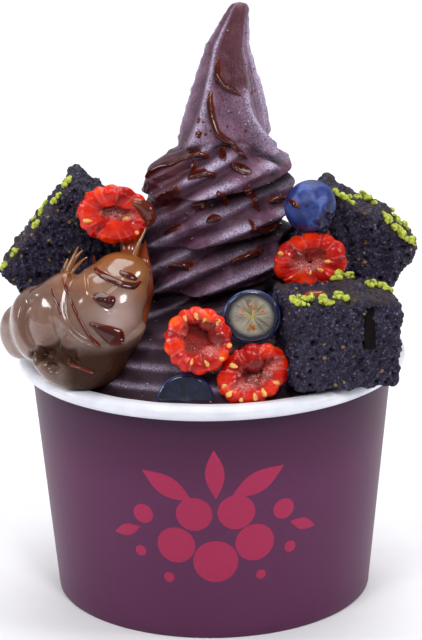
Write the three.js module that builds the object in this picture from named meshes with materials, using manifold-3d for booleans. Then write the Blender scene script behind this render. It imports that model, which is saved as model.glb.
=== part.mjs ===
// Acai bowl: a paper bowl filled with soft-serve acai that ends in a tall fluted peak, topped with
// brownie pieces, cut raspberries, blueberries and a dollop of chocolate hazelnut cream.
// Millimetres, +Z up. The origin is on the bowl's axis at the table; the front of the bowl faces -Y.
// Angles round the bowl are degrees from the front, positive towards +X.
import * as THREE from "three";
import { mergeVertices } from "three/addons/utils/BufferGeometryUtils.js";
import Module from "manifold-3d";

const wasm = await Module();
wasm.setup();

// ---- Driving dimensions -------------------------------------------------------------------------

const GAP = 0.3; // clearance between neighbouring pieces
const ROOM_SLACK = 1.03; // makes up for the flat facets of the room round a berry

// Half-litre paper bowl, 115 mm across its rolled rim.
const RIM_RADIUS = 57.5;
const RIM_WIDTH = 4.9;
const RIM_HEIGHT = 4.4;
const RIM_INNER_CORNER = 0.6; // width of the rim's inner corner, per half of its height
const BOWL_HEIGHT = 74.4;
const BASE_RADIUS = 46.8;
const WALL = 0.9;
const WALL_TOP_RADIUS = RIM_RADIUS - RIM_WIDTH + WALL;
const FOOT_HEIGHT = 5.5;
const FOOT_WIDTH = 2 * WALL;
const BASE_PLY = 0.9;
const BOWL_SIDES = 40;

// Soft-serve swirl: a fluted slope inside the rim, three wound rings and a leaning peak.
const SLOPE_FOOT = { z: 73.0, r: 51.6 };
const SLOPE_TOP = { z: 87.5, r: 36.5 };
const NECK = { z: 91.5, r: 20.5 };
const NECK_BLEND = { below: 2, above: 3 }; // the rings grow out of the neck over this height
const RING_PITCH = 14.4; // height of one wound ring
const CREASE_LEVEL = 124.2; // height at the front of the crease under the top ring
const CREASE_DEPTH = 4.2;
const CREASE_SHAPE = { lip: 0.08, tuck: 0.5, curve: 1.4 }; // parts of a ring's height, and how it draws in
const CREASE_FADE = { low: 127, high: 135, share: 0.7 }; // heights over which the creases get shallow
const FLUTE_SPACING = RING_PITCH / 2; // height between two flutes
const FLUTE_STARTS = 5; // flutes that rise side by side
const FLUTE_LEVEL = 112.7;
const FLUTE_SWAY = 8; // flutes rise steeply on the left and level out on the right
const FLUTE_SWAY_ANGLE = 70;
const FLUTE_DEPTH = 3.2;
const SHOULDER = [ // the top ring draws in towards the peak
  { z: 126, r: 22.4 },
  { z: 129.5, r: 20.8 },
  { z: 133, r: 18 },
  { z: 138, r: 15 },
];
const SLOPE_RIDGE_STEP = 4.5;
const SLOPE_RIDGE_DEPTH = 1.5;
const SLOPE_RIDGE_START = { up: 3, angle: 33 }; // where the lowest ridge is, above the slope's foot
const SLOPE_BLEND = { below: 1, above: 2 }; // the ridges grow out of the filling over this height
const PEAK_BASE = { z: 138.0, r: 15.0 };
const PEAK_TIP = { z: 177.5, r: 3.5 };
const PEAK_RIDGES = [ // angle of each ridge of the peak, and how far it sweeps round at the foot
  { angle: -108, sweep: -8 },
  { angle: -36, sweep: -8 },
  { angle: 35, sweep: 34 },
  { angle: 107, sweep: 8 },
  { angle: 180, sweep: 0 },
];
const PEAK_SPREAD = { height: 12, most: 1.1 }; // height over which the ridges sweep round
const PEAK_FLUTE_DEPTH = 3.6;
const PEAK_FLUTE_SHARE = 0.3; // deepest flute, per radius
const PEAK_CAP = 3; // height of the rounded tip
const PEAK_DIPS = [ // where the peak's foot dips, more on the right
  { angle: 78, width: 34, depth: 5.4 },
  { angle: -95, width: 45, depth: 3.4 },
];
const PEAK_STEP = { below: 1, above: 1.2 }; // height over which the top ring turns into the peak
const PEAK_NOTCH = { depth: 0.8, more: 2.2, angle: 72, width: 26, height: 1.4 }; // under the peak's foot
const AXIS_SHIFT = [ // how far the swirl's middle leans towards +X at each height
  { z: 80, x: 0 },
  { z: 96, x: 3 },
  { z: 122, x: 3.1 },
  { z: 140, x: 5 },
  { z: 165, x: 5.8 },
  { z: 177.5, x: 9.4 },
];
const SWIRL_COLUMNS = 50;
const SWIRL_ROWS = { inside: [40, 68], slope: 6, rings: 26, peak: 6 }; // heights inside the bowl, and counts

// Brownie pieces: length along the crust, depth front to back, height, and where they lie.
const BROWNIES = {
  brownie_left: { size: [36, 22, 25], at: [-40.6, -1, 106.2], tilt: -52, turn: 0, seed: 11 },
  brownie_back_right: { size: [33, 21, 31], at: [38.5, 2, 101.8], tilt: 34.5, turn: 0, seed: 23 },
  brownie_front_right: { size: [32, 25, 25.2], at: [35.2, -34.2, 88.0], tilt: 2.5, turn: 16, seed: 37 },
};
const CRUMB_RELIEF = 0.75;
const BROWNIE_ROUNDING = 2.6;
const BROWNIE_FACES = [6, 5, 5]; // faces along the length, depth and height
const CRUST_LUMPS = { brownie_back_right: [3, 3.4], brownie_front_right: [5, 2.4] }; // place, height
const CRUST_LUMP_WIDTH = 4.5;
const PISTACHIOS_EACH = 10;
const PISTACHIO = { radius: 1.1, spread: 0.8, stretch: [1.15, 0.9, 0.75], up: 0.3 };
const PISTACHIO_ROOM = { across: 0.86, deep: 0.75, front: 0.44 }; // parts of the crust that they lie on

// Raspberries cut lengthwise: width, height and thickness, with the cut face towards the front.
const RASPBERRIES = {
  raspberry_left: { size: [21.6, 17.4, 10], at: [-27.1, -17.6, 120.0], tilt: 4, turn: -6, lean: 8 },
  raspberry_right: { size: [21.8, 17.0, 10], at: [28.5, -19.5, 105.6], tilt: -6, turn: 8, lean: 12 },
  raspberry_front_left: { size: [19.6, 19.4, 10], at: [-3.7, -44.6, 90.1], tilt: 20, turn: 0, lean: 20 },
  raspberry_front_right: { size: [21.6, 16.8, 9.4], at: [11.5, -45.6, 80.2], tilt: -28, turn: 4, lean: 24 },
};
const DRUPELETS_ROUND = 12;
const DRUPELET_RELIEF = 0.75;
const RASPBERRY_HOLLOW = { depth: 3.4, width: 0.5 }; // width per half size
const RASPBERRY_ROWS = { back: 5, face: 3 };
const RASPBERRY_TAPER = 0.1;
const CUT_FACE_FORWARD = 0.42; // how far the cut face lies before the placing point, per thickness

// Blueberries: radius, centre, and for a half how far its cut face turns and leans.
const WHOLE_BLUEBERRIES = {
  blueberry_whole: { radius: 7.6, at: [28.8, -17.6, 121.5], crown: [0.62, -0.68, -0.39] },
  blueberry_tucked: { radius: 7.4, at: [33.7, -16.6, 90.0], crown: [-0.3, 0.6, -0.7] },
};
const HALF_BLUEBERRIES = {
  blueberry_half_center: { radius: 8.1, at: [11.3, -38.4, 95.2], turn: 4, lean: 16 },
  blueberry_half_rim: { radius: 8.2, at: [-7.2, -46.0, 73.0], turn: -4, lean: 12 },
};
const BLUEBERRY_FLATTENING = 0.93;
const BLUEBERRY_CROWN = { radius: 2.6, rim: 0.5, rimWidth: 0.9, pit: 1.3, pitWidth: 1.7 };
const CROWN_ROOM = 0.4; // room that a whole berry's crown needs above its round form
const WHOLE_SIDES = { columns: 18, rows: 9, towardsCrown: 0.85 };
const HALF_SIDES = { columns: 22, rows: 8, back: 0.66 };
const HALF_FACE_SWELL = 0.5;
const HALF_FACE_FORWARD = 0.35; // how far the cut face lies before the placing point, per radius

// Chocolate hazelnut cream: folds that run into each other, each an ellipsoid of three radii.
const CREAM_MIDDLE = [-38, -31, 90];
const CREAM_BLEND = 0.7; // how softly one fold runs into the next
const CREAM_FOLDS = [
  { at: [-32.2, -33.5, 93.0], radii: [13.4, 12.0, 14.8] }, // dome
  { at: [-41.5, -30.0, 91.6], radii: [12.4, 12.2, 14.2] }, // second fold
  { at: [-49.4, -24.5, 88.8], radii: [8.8, 10.8, 11.6] }, // third fold
  { at: [-55.4, -18.5, 85.2], radii: [6.0, 8.6, 8.2] }, // end that hangs over the rim
  { at: [-37.5, -37.0, 83.2], radii: [13.8, 8.8, 10.4] }, // foot
  { at: [-25.4, -26.5, 104.0], radii: [8.4, 8.0, 6.6] }, // top fold against the swirl
];
const CREAM_SIDES = { columns: 30, rows: 18 };
const CREAM_ROOM = 1.3 * GAP; // swollen by this, the cream's shape is the room that it needs

// Dark chocolate stick: its widths and size, and its place on the front brownie's front face.
const CHUNK = { top: 2.6, bottom: 3.6, height: 12.6, depth: 6, across: 6.2, up: 5.2, proud: 0.1 };

// ---- Small helpers ------------------------------------------------------------------------------

const radians = THREE.MathUtils.degToRad;
const mix = THREE.MathUtils.lerp;
const smooth = (low, high, x) => THREE.MathUtils.smoothstep(x, low, high);
const bell = (distance, width) => Math.exp(-((distance / width) ** 2));

// Repeatable random numbers between 0 and 1.
function randomFrom(seed) {
  let state = seed;
  return () => {
    state = (state * 1664525 + 1013904223) % 4294967296;
    return state / 4294967296;
  };
}

// Smooth, repeatable unevenness between about -1 and 1 at a point.
function unevenness(x, y, z, seed) {
  const wave = (a, b, c, d) => Math.sin(a * x + b * y + c * z + d * seed);
  return (wave(0.71, 0.53, 0.37, 1.7) + wave(-0.46, 0.83, 0.61, 2.9) + wave(0.93, -0.35, 0.88, 4.3)) / 3
    + wave(1.9, 1.3, -1.6, 5.1) / 3;
}

// A value read from a list of { z, [key] } steps, straight between them.
function valueAt(steps, key, z) {
  const next = steps.findIndex((step) => step.z > z);
  if (next === 0) return steps[0][key];
  if (next < 0) return steps[steps.length - 1][key];
  const [low, high] = [steps[next - 1], steps[next]];
  return mix(low[key], high[key], (z - low.z) / (high.z - low.z));
}

// A closed surface between two poles. pointAt(turn, way) gives a point; turn runs 0 to 1
// anticlockwise seen from the last pole, and way runs 0 to 1 from the first pole to the last.
function closedSurface(columns, ways, pointAt) {
  const points = [pointAt(0, ways[0])];
  for (const way of ways.slice(1, -1)) {
    for (let column = 0; column < columns; column++) points.push(pointAt(column / columns, way));
  }
  points.push(pointAt(0, ways[ways.length - 1]));
  const last = points.length - 1;
  const at = (column, ring) => 1 + ring * columns + (column % columns);
  const rings = ways.length - 2;
  const faces = [];
  for (let column = 0; column < columns; column++) {
    faces.push(0, at(column + 1, 0), at(column, 0));
    for (let ring = 0; ring < rings - 1; ring++) {
      faces.push(at(column, ring), at(column + 1, ring), at(column + 1, ring + 1));
      faces.push(at(column, ring), at(column + 1, ring + 1), at(column, ring + 1));
    }
    faces.push(at(column, rings - 1), at(column + 1, rings - 1), last);
  }
  const geometry = new THREE.BufferGeometry().setFromPoints(points);
  geometry.setIndex(faces);
  return geometry;
}

const evenly = (count) => Array.from({ length: count + 1 }, (_, i) => i / count);

// ---- Joining and cutting ------------------------------------------------------------------------

function solidOf(geometry) {
  const bare = new THREE.BufferGeometry().setAttribute("position", geometry.getAttribute("position"));
  bare.setIndex(geometry.index);
  const merged = mergeVertices(bare, 1e-4);
  return new wasm.Manifold(new wasm.Mesh({
    numProp: 3,
    vertProperties: new Float32Array(merged.attributes.position.array),
    triVerts: new Uint32Array(merged.index.array),
  }));
}

function geometryOf(solid) {
  const mesh = solid.getMesh();
  const geometry = new THREE.BufferGeometry();
  geometry.setAttribute("position", new THREE.BufferAttribute(mesh.vertProperties, 3));
  geometry.setIndex(new THREE.BufferAttribute(mesh.triVerts, 1));
  return geometry;
}

// The biggest body of a solid, so that a cut leaves no loose scrap.
function biggestBody(solid) {
  return solid.decompose().reduce((best, body) => (body.volume() > best.volume() ? body : best));
}

// The room a placed mesh needs: its own shape, grown by the gap along each half size.
function roomFor(mesh, halfSizes) {
  mesh.updateMatrix();
  const grown = mesh.geometry.clone().scale(...halfSizes.map((half) => 1 + GAP / half));
  return solidOf(grown.applyMatrix4(mesh.matrix));
}

// The room round a berry: an ellipsoid of the given half sizes about a point of the mesh.
function berryRoom(mesh, halfSizes, middle = [0, 0, 0]) {
  mesh.updateMatrix();
  const [x, y, z] = halfSizes.map((half) => ROOM_SLACK * half + GAP);
  const room = new THREE.SphereGeometry(1, 14, 8).rotateX(Math.PI / 2).scale(x, y, z).translate(...middle);
  return solidOf(room.applyMatrix4(mesh.matrix));
}

// Presses placed pieces into a softer mesh: their room is cut out of it.
function press(soft, rooms) {
  soft.updateMatrix();
  const inverse = soft.matrix.clone().invert();
  let solid = solidOf(soft.geometry.clone().applyMatrix4(soft.matrix));
  for (const room of rooms) solid = solid.subtract(room);
  soft.geometry = geometryOf(biggestBody(solid)).applyMatrix4(inverse);
}

// ---- Materials ----------------------------------------------------------------------------------

function material(color, roughness) {
  return new THREE.MeshStandardMaterial({ color, roughness, metalness: 0 });
}

const printedPaper = material(0x5e3a58, 0.55);
const plainPaper = material(0xe9e8ee, 0.6);
const acai = material(0x4b3040, 0.6);
const brownie = material(0x241f27, 0.85);
const darkChocolate = material(0x17110f, 0.35);
const raspberry = material(0xc41f12, 0.3);
const blueberrySkin = material(0x36427a, 0.5);
const blueberryFlesh = material(0x6f7368, 0.35);
const hazelnutCream = material(0x8a6045, 0.25);

// ---- Paper bowl ---------------------------------------------------------------------------------

const wallRadius = (z) => mix(BASE_RADIUS, WALL_TOP_RADIUS, z / (BOWL_HEIGHT - RIM_HEIGHT));
const innerRadius = (z) => wallRadius(z) - WALL;

function revolve(profile) {
  const points = profile.map(([r, z]) => new THREE.Vector2(r, z));
  return new THREE.LatheGeometry(points, BOWL_SIDES).rotateX(Math.PI / 2);
}

// Outline of the rolled rim, from its underside round the outside to its inner edge.
function rimOutline() {
  const inner = RIM_RADIUS - RIM_WIDTH;
  const corner = RIM_HEIGHT / 2;
  const middle = BOWL_HEIGHT - corner;
  const outline = [];
  for (const angle of [-60, 0, 45, 90]) {
    const [c, s] = [Math.cos(radians(angle)), Math.sin(radians(angle))];
    outline.push([RIM_RADIUS - corner + corner * c, middle + corner * s]);
  }
  for (const angle of [90, 170]) {
    const [c, s] = [Math.cos(radians(angle)), Math.sin(radians(angle))];
    outline.push([inner + corner * RIM_INNER_CORNER * (1 + c), middle + corner * s]);
  }
  return outline;
}

// Side wall with its rolled rim, and the doubled foot that its lower edge is folded into.
function bowlWall() {
  const under = BOWL_HEIGHT - RIM_HEIGHT;
  const footInner = BASE_RADIUS - FOOT_WIDTH;
  const profile = [
    [footInner, 0],
    [BASE_RADIUS, 0],
    [wallRadius(under), under],
    ...rimOutline(),
    [innerRadius(under), under],
    [innerRadius(FOOT_HEIGHT), FOOT_HEIGHT],
    [footInner, FOOT_HEIGHT],
    [footInner, 0],
  ];
  return new THREE.Mesh(revolve(profile), printedPaper);
}

// Round bottom, raised on the foot.
function bowlBottom() {
  const low = FOOT_HEIGHT + GAP;
  const radius = innerRadius(low) - GAP;
  const profile = [[0, low], [radius, low], [radius, low + BASE_PLY], [0, low + BASE_PLY]];
  return new THREE.Mesh(revolve(profile), plainPaper);
}

// The rolled rim and the air just round it, which the toppings keep clear of.
function rimRoom() {
  const inner = RIM_RADIUS - RIM_WIDTH - 2 * GAP;
  const low = BOWL_HEIGHT / 2;
  const high = BOWL_HEIGHT + GAP;
  const lowInner = innerRadius(low) - GAP;
  const outer = RIM_RADIUS + 2 * GAP;
  return solidOf(revolve([[lowInner, low], [outer, low], [outer, high], [inner, high], [lowInner, low]]));
}

// ---- Soft-serve swirl ---------------------------------------------------------------------------

const turnOf = (angle) => angle / 360;

// Radius of the wound rings: each stands proud at its lower lip, draws in under the ring above it,
// and is cut by slanting flutes with sharp crests.
function ringRadius(angle, z) {
  const height = (z - CREASE_LEVEL) / RING_PITCH - turnOf(angle);
  const across = height - Math.floor(height);
  const lip = smooth(0, CREASE_SHAPE.lip, across);
  const tuck = smooth(CREASE_SHAPE.tuck, 1, across) ** CREASE_SHAPE.curve;
  const fade = 1 - CREASE_FADE.share * smooth(CREASE_FADE.low, CREASE_FADE.high, z);
  const crease = CREASE_DEPTH * fade * (1 - lip + lip * tuck);
  const sway = FLUTE_SWAY * Math.sin(radians(angle + FLUTE_SWAY_ANGLE));
  const rise = FLUTE_STARTS * FLUTE_SPACING * turnOf(angle) + sway;
  const flute = Math.abs(Math.sin((Math.PI * (z - FLUTE_LEVEL - rise)) / FLUTE_SPACING));
  return valueAt(SHOULDER, "r", z) - crease - FLUTE_DEPTH * flute;
}

// Radius of the slope between the rim and the neck under the rings, with near-level ridges.
function slopeRadius(angle, z) {
  const { z: low, r: wide } = SLOPE_FOOT;
  const body = mix(wide, SLOPE_TOP.r, (z - low) / (SLOPE_TOP.z - low));
  const start = SLOPE_RIDGE_START;
  const phase = (z - low - start.up) / SLOPE_RIDGE_STEP - turnOf(angle + start.angle);
  const grown = smooth(low - SLOPE_BLEND.below, low + SLOPE_BLEND.above, z);
  return body - SLOPE_RIDGE_DEPTH * Math.abs(Math.sin(Math.PI * phase)) * grown;
}

// Radius of the peak: five sharp ridges that spread apart towards its base.
function peakRadius(angle, z) {
  const { z: low, r: wide } = PEAK_BASE;
  const down = Math.min(Math.max(1 - (z - low) / PEAK_SPREAD.height, 0), PEAK_SPREAD.most);
  const spread = PEAK_RIDGES.map((ridge) => ridge.angle + ridge.sweep * down ** 2);
  const next = spread.findIndex((ridge) => ridge > angle);
  const from = next > 0 ? spread[next - 1] : spread[spread.length - 1] - 360;
  const to = spread[Math.max(next, 0)];
  const flute = Math.sin((Math.PI * (angle - from)) / (to - from));
  const body = mix(wide, PEAK_TIP.r, (z - low) / (PEAK_TIP.z - PEAK_CAP - low));
  return body - Math.min(PEAK_FLUTE_DEPTH, PEAK_FLUTE_SHARE * body) * flute;
}

// Height where the peak rises out of the top ring.
function peakFoot(angle) {
  return PEAK_DIPS.reduce((z, dip) => z - dip.depth * bell(angle - dip.angle, dip.width), PEAK_BASE.z);
}

function swirlRadius(angle, z) {
  if (z <= SLOPE_FOOT.z) return Math.min(innerRadius(z) - GAP, SLOPE_FOOT.r);
  const capFoot = PEAK_TIP.z - PEAK_CAP;
  if (z > capFoot) {
    const cap = Math.sqrt(Math.max(0, 1 - ((z - capFoot) / PEAK_CAP) ** 2));
    return peakRadius(angle, capFoot) * cap;
  }
  if (z <= SLOPE_TOP.z) return slopeRadius(angle, z);
  const neck = mix(slopeRadius(angle, SLOPE_TOP.z), NECK.r, smooth(SLOPE_TOP.z, NECK.z, z));
  const grown = smooth(NECK.z - NECK_BLEND.below, NECK.z + NECK_BLEND.above, z);
  const rings = mix(neck, ringRadius(angle, z), grown);
  const foot = peakFoot(angle);
  const deepest = PEAK_NOTCH.depth + PEAK_NOTCH.more * bell(angle - PEAK_NOTCH.angle, PEAK_NOTCH.width);
  const notch = deepest * bell(z - foot, PEAK_NOTCH.height);
  return mix(rings, peakRadius(angle, z), smooth(foot - PEAK_STEP.below, foot + PEAK_STEP.above, z)) - notch;
}

function swirlPoint(angle, z) {
  const r = swirlRadius(angle, z);
  const a = radians(angle);
  return new THREE.Vector3(valueAt(AXIS_SHIFT, "x", z) + r * Math.sin(a), -r * Math.cos(a), z);
}

// Heights of the swirl's rows: few inside the bowl, close together where the rings are.
function swirlHeights() {
  const floor = FOOT_HEIGHT + BASE_PLY + 2 * GAP;
  const span = (low, high, count) => evenly(count).map((way) => mix(low, high, way));
  const ringTop = PEAK_BASE.z + PEAK_STEP.below;
  return [
    floor,
    floor,
    ...SWIRL_ROWS.inside,
    ...span(SLOPE_FOOT.z, SLOPE_TOP.z, SWIRL_ROWS.slope),
    ...span(SLOPE_TOP.z, ringTop, SWIRL_ROWS.rings).slice(1),
    ...span(ringTop, PEAK_TIP.z - PEAK_CAP, SWIRL_ROWS.peak).slice(1),
    PEAK_TIP.z - PEAK_CAP / 3,
    PEAK_TIP.z,
  ];
}

function swirl() {
  const heights = swirlHeights();
  const rows = heights.map((_, row) => row);
  const surface = closedSurface(SWIRL_COLUMNS, rows, (turn, row) => {
    if (row === 0) return new THREE.Vector3(0, 0, heights[0]);
    return swirlPoint(360 * turn - 180, heights[row]);
  });
  return new THREE.Mesh(surface, acai);
}

// ---- Brownies -----------------------------------------------------------------------------------

// Places a mesh: tilt turns it in the front plane, turn about the upright axis, lean tips it back.
function place(mesh, { at, tilt = 0, turn = 0, lean = 0 }) {
  mesh.position.set(...at);
  mesh.rotation.set(radians(-lean), radians(tilt), radians(turn), "ZXY");
  return mesh;
}

// How far the lump on a crust rises over a place on it; 0 where the crust has none.
function lumpRise(x, y, depth, lump) {
  return lump ? lump[1] * bell(x - lump[0], CRUST_LUMP_WIDTH) * bell(y, depth / 2) : 0;
}

// A rounded block whose surface is broken into crumbs, with a lump on its crust where there is one.
function brownieBlock([length, depth, height], seed, lump) {
  const block = mergeVertices(bareBox(length, depth, height), 1e-4);
  const facesUp = 0.5; // upward part of a direction out of the crust
  const points = block.attributes.position;
  const half = new THREE.Vector3(length / 2, depth / 2, height / 2);
  const core = half.clone().subScalar(BROWNIE_ROUNDING);
  const point = new THREE.Vector3();
  for (let i = 0; i < points.count; i++) {
    point.fromBufferAttribute(points, i);
    const nearest = point.clone().clamp(core.clone().negate(), core);
    const out = point.clone().sub(nearest).normalize();
    const crumb = CRUMB_RELIEF * unevenness(point.x, point.y, point.z, seed);
    point.copy(nearest).addScaledVector(out, BROWNIE_ROUNDING + crumb);
    if (out.z > facesUp) point.z += lumpRise(point.x, point.y, depth, lump);
    points.setXYZ(i, point.x, point.y, point.z);
  }
  return solidOf(block);
}

function bareBox(length, depth, height) {
  const box = new THREE.BoxGeometry(length, depth, height, ...BROWNIE_FACES);
  box.deleteAttribute("normal");
  box.deleteAttribute("uv");
  return box;
}

// Chopped pistachio on the crust, most of it along the front edge.
function pistachios([length, depth, height], seed, lump) {
  const random = randomFrom(seed);
  const { across, deep, front } = PISTACHIO_ROOM;
  return Array.from({ length: PISTACHIOS_EACH }, (_, i) => {
    const x = length * across * ((i + 0.2 + 0.6 * random()) / PISTACHIOS_EACH - 0.5);
    const y = depth * (deep * random() ** 2 - front);
    const crumb = new THREE.IcosahedronGeometry(PISTACHIO.radius + PISTACHIO.spread * random(), 0);
    crumb.rotateZ(6 * random()).scale(...PISTACHIO.stretch);
    return solidOf(crumb.translate(x, y, height / 2 + lumpRise(x, y, depth, lump) + PISTACHIO.up));
  });
}

function brownieMesh(name) {
  const { size, seed } = BROWNIES[name];
  const lump = CRUST_LUMPS[name];
  let solid = brownieBlock(size, seed, lump);
  for (const crumb of pistachios(size, seed, lump)) solid = solid.add(crumb);
  return place(new THREE.Mesh(geometryOf(biggestBody(solid)), brownie), BROWNIES[name]);
}

// A stick of dark chocolate set into the front face of the front brownie.
function chocolateChunk() {
  const { top, bottom, height, depth, across, up, proud } = CHUNK;
  const shape = new THREE.Shape([
    new THREE.Vector2(-bottom / 2, -height / 2),
    new THREE.Vector2(bottom / 2, -height / 2),
    new THREE.Vector2(top / 2, height / 2),
    new THREE.Vector2(-top / 2, height / 2),
  ]);
  const stick = new THREE.ExtrudeGeometry(shape, { depth, bevelEnabled: false });
  stick.translate(0, 0, -depth / 2).rotateX(Math.PI / 2);
  const holder = BROWNIES.brownie_front_right;
  const offset = new THREE.Vector3(across, -holder.size[1] / 2 + depth / 2 - proud, up);
  const at = offset.applyAxisAngle(new THREE.Vector3(0, 0, 1), radians(holder.turn));
  at.add(new THREE.Vector3(...holder.at));
  return place(new THREE.Mesh(stick, darkChocolate), { at: at.toArray(), turn: holder.turn });
}

// ---- Raspberries --------------------------------------------------------------------------------

// Half a raspberry: drupelets bulge round its back, and its cut face is hollow in the middle.
function halfRaspberry([width, height, thickness]) {
  const backRows = RASPBERRY_ROWS.back;
  const rows = backRows + RASPBERRY_ROWS.face;
  const face = -thickness * CUT_FACE_FORWARD;
  return closedSurface(3 * DRUPELETS_ROUND, evenly(rows), (turn, way) => {
    const row = Math.round(way * rows);
    const onBack = row < backRows;
    const round = (Math.min(row / backRows, 1) * Math.PI) / 2;
    const out = onBack ? Math.sin(round) : (rows - row) / (rows - backRows);
    const angle = 2 * Math.PI * turn;
    const stagger = onBack ? ((2 * Math.PI) / 3) * ((backRows - row) % 2) : 0;
    const bulge = -DRUPELET_RELIEF * Math.cos(DRUPELETS_ROUND * angle + stagger) * out ** 3;
    const hollow = RASPBERRY_HOLLOW.depth * bell(out, RASPBERRY_HOLLOW.width);
    const pointed = 1 - RASPBERRY_TAPER * Math.cos(angle);
    return new THREE.Vector3(
      (width / 2 - DRUPELET_RELIEF + bulge) * out * Math.cos(angle),
      onBack ? face + thickness * Math.cos(round) : face + hollow,
      (height / 2 - DRUPELET_RELIEF + bulge) * out * pointed * Math.sin(angle),
    );
  });
}

// The room runs on in front of the cut face, which stays open.
function raspberryRoom(mesh) {
  const [width, height, thickness] = RASPBERRIES[mesh.name].size;
  return berryRoom(mesh, [width / 2, thickness, height / 2], [0, -thickness * CUT_FACE_FORWARD, 0]);
}

function raspberryMesh(name) {
  const { size } = RASPBERRIES[name];
  return place(new THREE.Mesh(halfRaspberry(size), raspberry), RASPBERRIES[name]);
}

// ---- Blueberries --------------------------------------------------------------------------------

// A whole blueberry with its crown: a raised ring of sepals round a shallow pit.
function wholeBlueberry(radius) {
  const { radius: crown, rim, rimWidth, pit, pitWidth } = BLUEBERRY_CROWN;
  return closedSurface(WHOLE_SIDES.columns, evenly(WHOLE_SIDES.rows), (turn, way) => {
    const polar = Math.PI * (1 - way ** WHOLE_SIDES.towardsCrown);
    const out = radius * Math.sin(polar);
    const rise = way > 0.5 ? rim * bell(out - crown, rimWidth) - pit * bell(out, pitWidth) : 0;
    const angle = 2 * Math.PI * turn;
    return new THREE.Vector3(
      out * Math.cos(angle),
      out * Math.sin(angle),
      BLUEBERRY_FLATTENING * radius * Math.cos(polar) + rise,
    );
  });
}

function wholeBlueberryRoom(mesh) {
  const { radius } = WHOLE_BLUEBERRIES[mesh.name];
  return berryRoom(mesh, [radius, radius, BLUEBERRY_FLATTENING * radius + CROWN_ROOM]);
}

function wholeBlueberryMesh(name) {
  const { radius, at, crown } = WHOLE_BLUEBERRIES[name];
  const mesh = new THREE.Mesh(wholeBlueberry(radius), blueberrySkin);
  const up = new THREE.Vector3(0, 0, 1);
  mesh.quaternion.setFromUnitVectors(up, new THREE.Vector3(...crown).normalize());
  mesh.position.set(...at);
  return mesh;
}

// Half a blueberry: the round back, and a cut face that swells a little.
function halfBlueberry(radius) {
  const edge = HALF_SIDES.back;
  return closedSurface(HALF_SIDES.columns, evenly(HALF_SIDES.rows), (turn, way) => {
    const round = (Math.min(way / edge, 1) * Math.PI) / 2;
    const out = way < edge ? Math.sin(round) : 1 - (way - edge) / (1 - edge);
    const depth = way < edge ? radius * Math.cos(round) : -HALF_FACE_SWELL * (1 - out ** 2);
    const angle = 2 * Math.PI * turn;
    return new THREE.Vector3(
      radius * out * Math.cos(angle),
      depth - radius * HALF_FACE_FORWARD,
      BLUEBERRY_FLATTENING * radius * out * Math.sin(angle),
    );
  });
}

// The room runs on in front of the cut face, which stays open.
function halfBlueberryRoom(mesh) {
  const { radius } = HALF_BLUEBERRIES[mesh.name];
  const upright = BLUEBERRY_FLATTENING * radius;
  return berryRoom(mesh, [radius, radius, upright], [0, -radius * HALF_FACE_FORWARD, 0]);
}

function halfBlueberryMesh(name) {
  const half = halfBlueberry(HALF_BLUEBERRIES[name].radius);
  return place(new THREE.Mesh(half, blueberryFlesh), HALF_BLUEBERRIES[name]);
}

// ---- Chocolate hazelnut cream -------------------------------------------------------------------

// How far a ray from the cream's middle runs before it leaves a fold; 0 where it misses.
function reach(direction, { at, radii }) {
  let [a, b, c] = [0, 0, -1];
  for (let axis = 0; axis < 3; axis++) {
    const offset = CREAM_MIDDLE[axis] - at[axis];
    const along = direction.getComponent(axis);
    a += (along / radii[axis]) ** 2;
    b += (2 * along * offset) / radii[axis] ** 2;
    c += (offset / radii[axis]) ** 2;
  }
  const root = b * b - 4 * a * c;
  return root < 0 ? 0 : (Math.sqrt(root) - b) / (2 * a);
}

// The folds' outer surface, blended where they meet and swollen by the given extra.
function creamShape(extra) {
  return closedSurface(CREAM_SIDES.columns, evenly(CREAM_SIDES.rows), (turn, way) => {
    const [polar, round] = [Math.PI * (1 - way), 2 * Math.PI * turn];
    const direction = new THREE.Vector3(Math.cos(round), Math.sin(round), 0).multiplyScalar(Math.sin(polar));
    direction.z = Math.cos(polar);
    const reaches = CREAM_FOLDS.map((fold) => reach(direction, fold));
    const sum = reaches.reduce((total, far) => total + Math.exp(far / CREAM_BLEND), 0);
    return direction.multiplyScalar(CREAM_BLEND * Math.log(sum) + extra);
  });
}

function cream() {
  return place(new THREE.Mesh(creamShape(0), hazelnutCream), { at: CREAM_MIDDLE });
}

// ---- Putting it together ------------------------------------------------------------------------

function named(mesh, name) {
  mesh.name = name;
  return mesh;
}

const wall = named(bowlWall(), "bowl_wall");
const bottom = named(bowlBottom(), "bowl_bottom");
const swirlMesh = named(swirl(), "acai_swirl");
const creamMesh = named(cream(), "chocolate_cream");
const chunk = named(chocolateChunk(), "chocolate_chunk");
const brownies = Object.keys(BROWNIES).map((name) => named(brownieMesh(name), name));
const raspberries = Object.keys(RASPBERRIES).map((name) => named(raspberryMesh(name), name));
const wholeBerries = Object.keys(WHOLE_BLUEBERRIES).map((name) => named(wholeBlueberryMesh(name), name));
const halfBerries = Object.keys(HALF_BLUEBERRIES).map((name) => named(halfBlueberryMesh(name), name));

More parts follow.
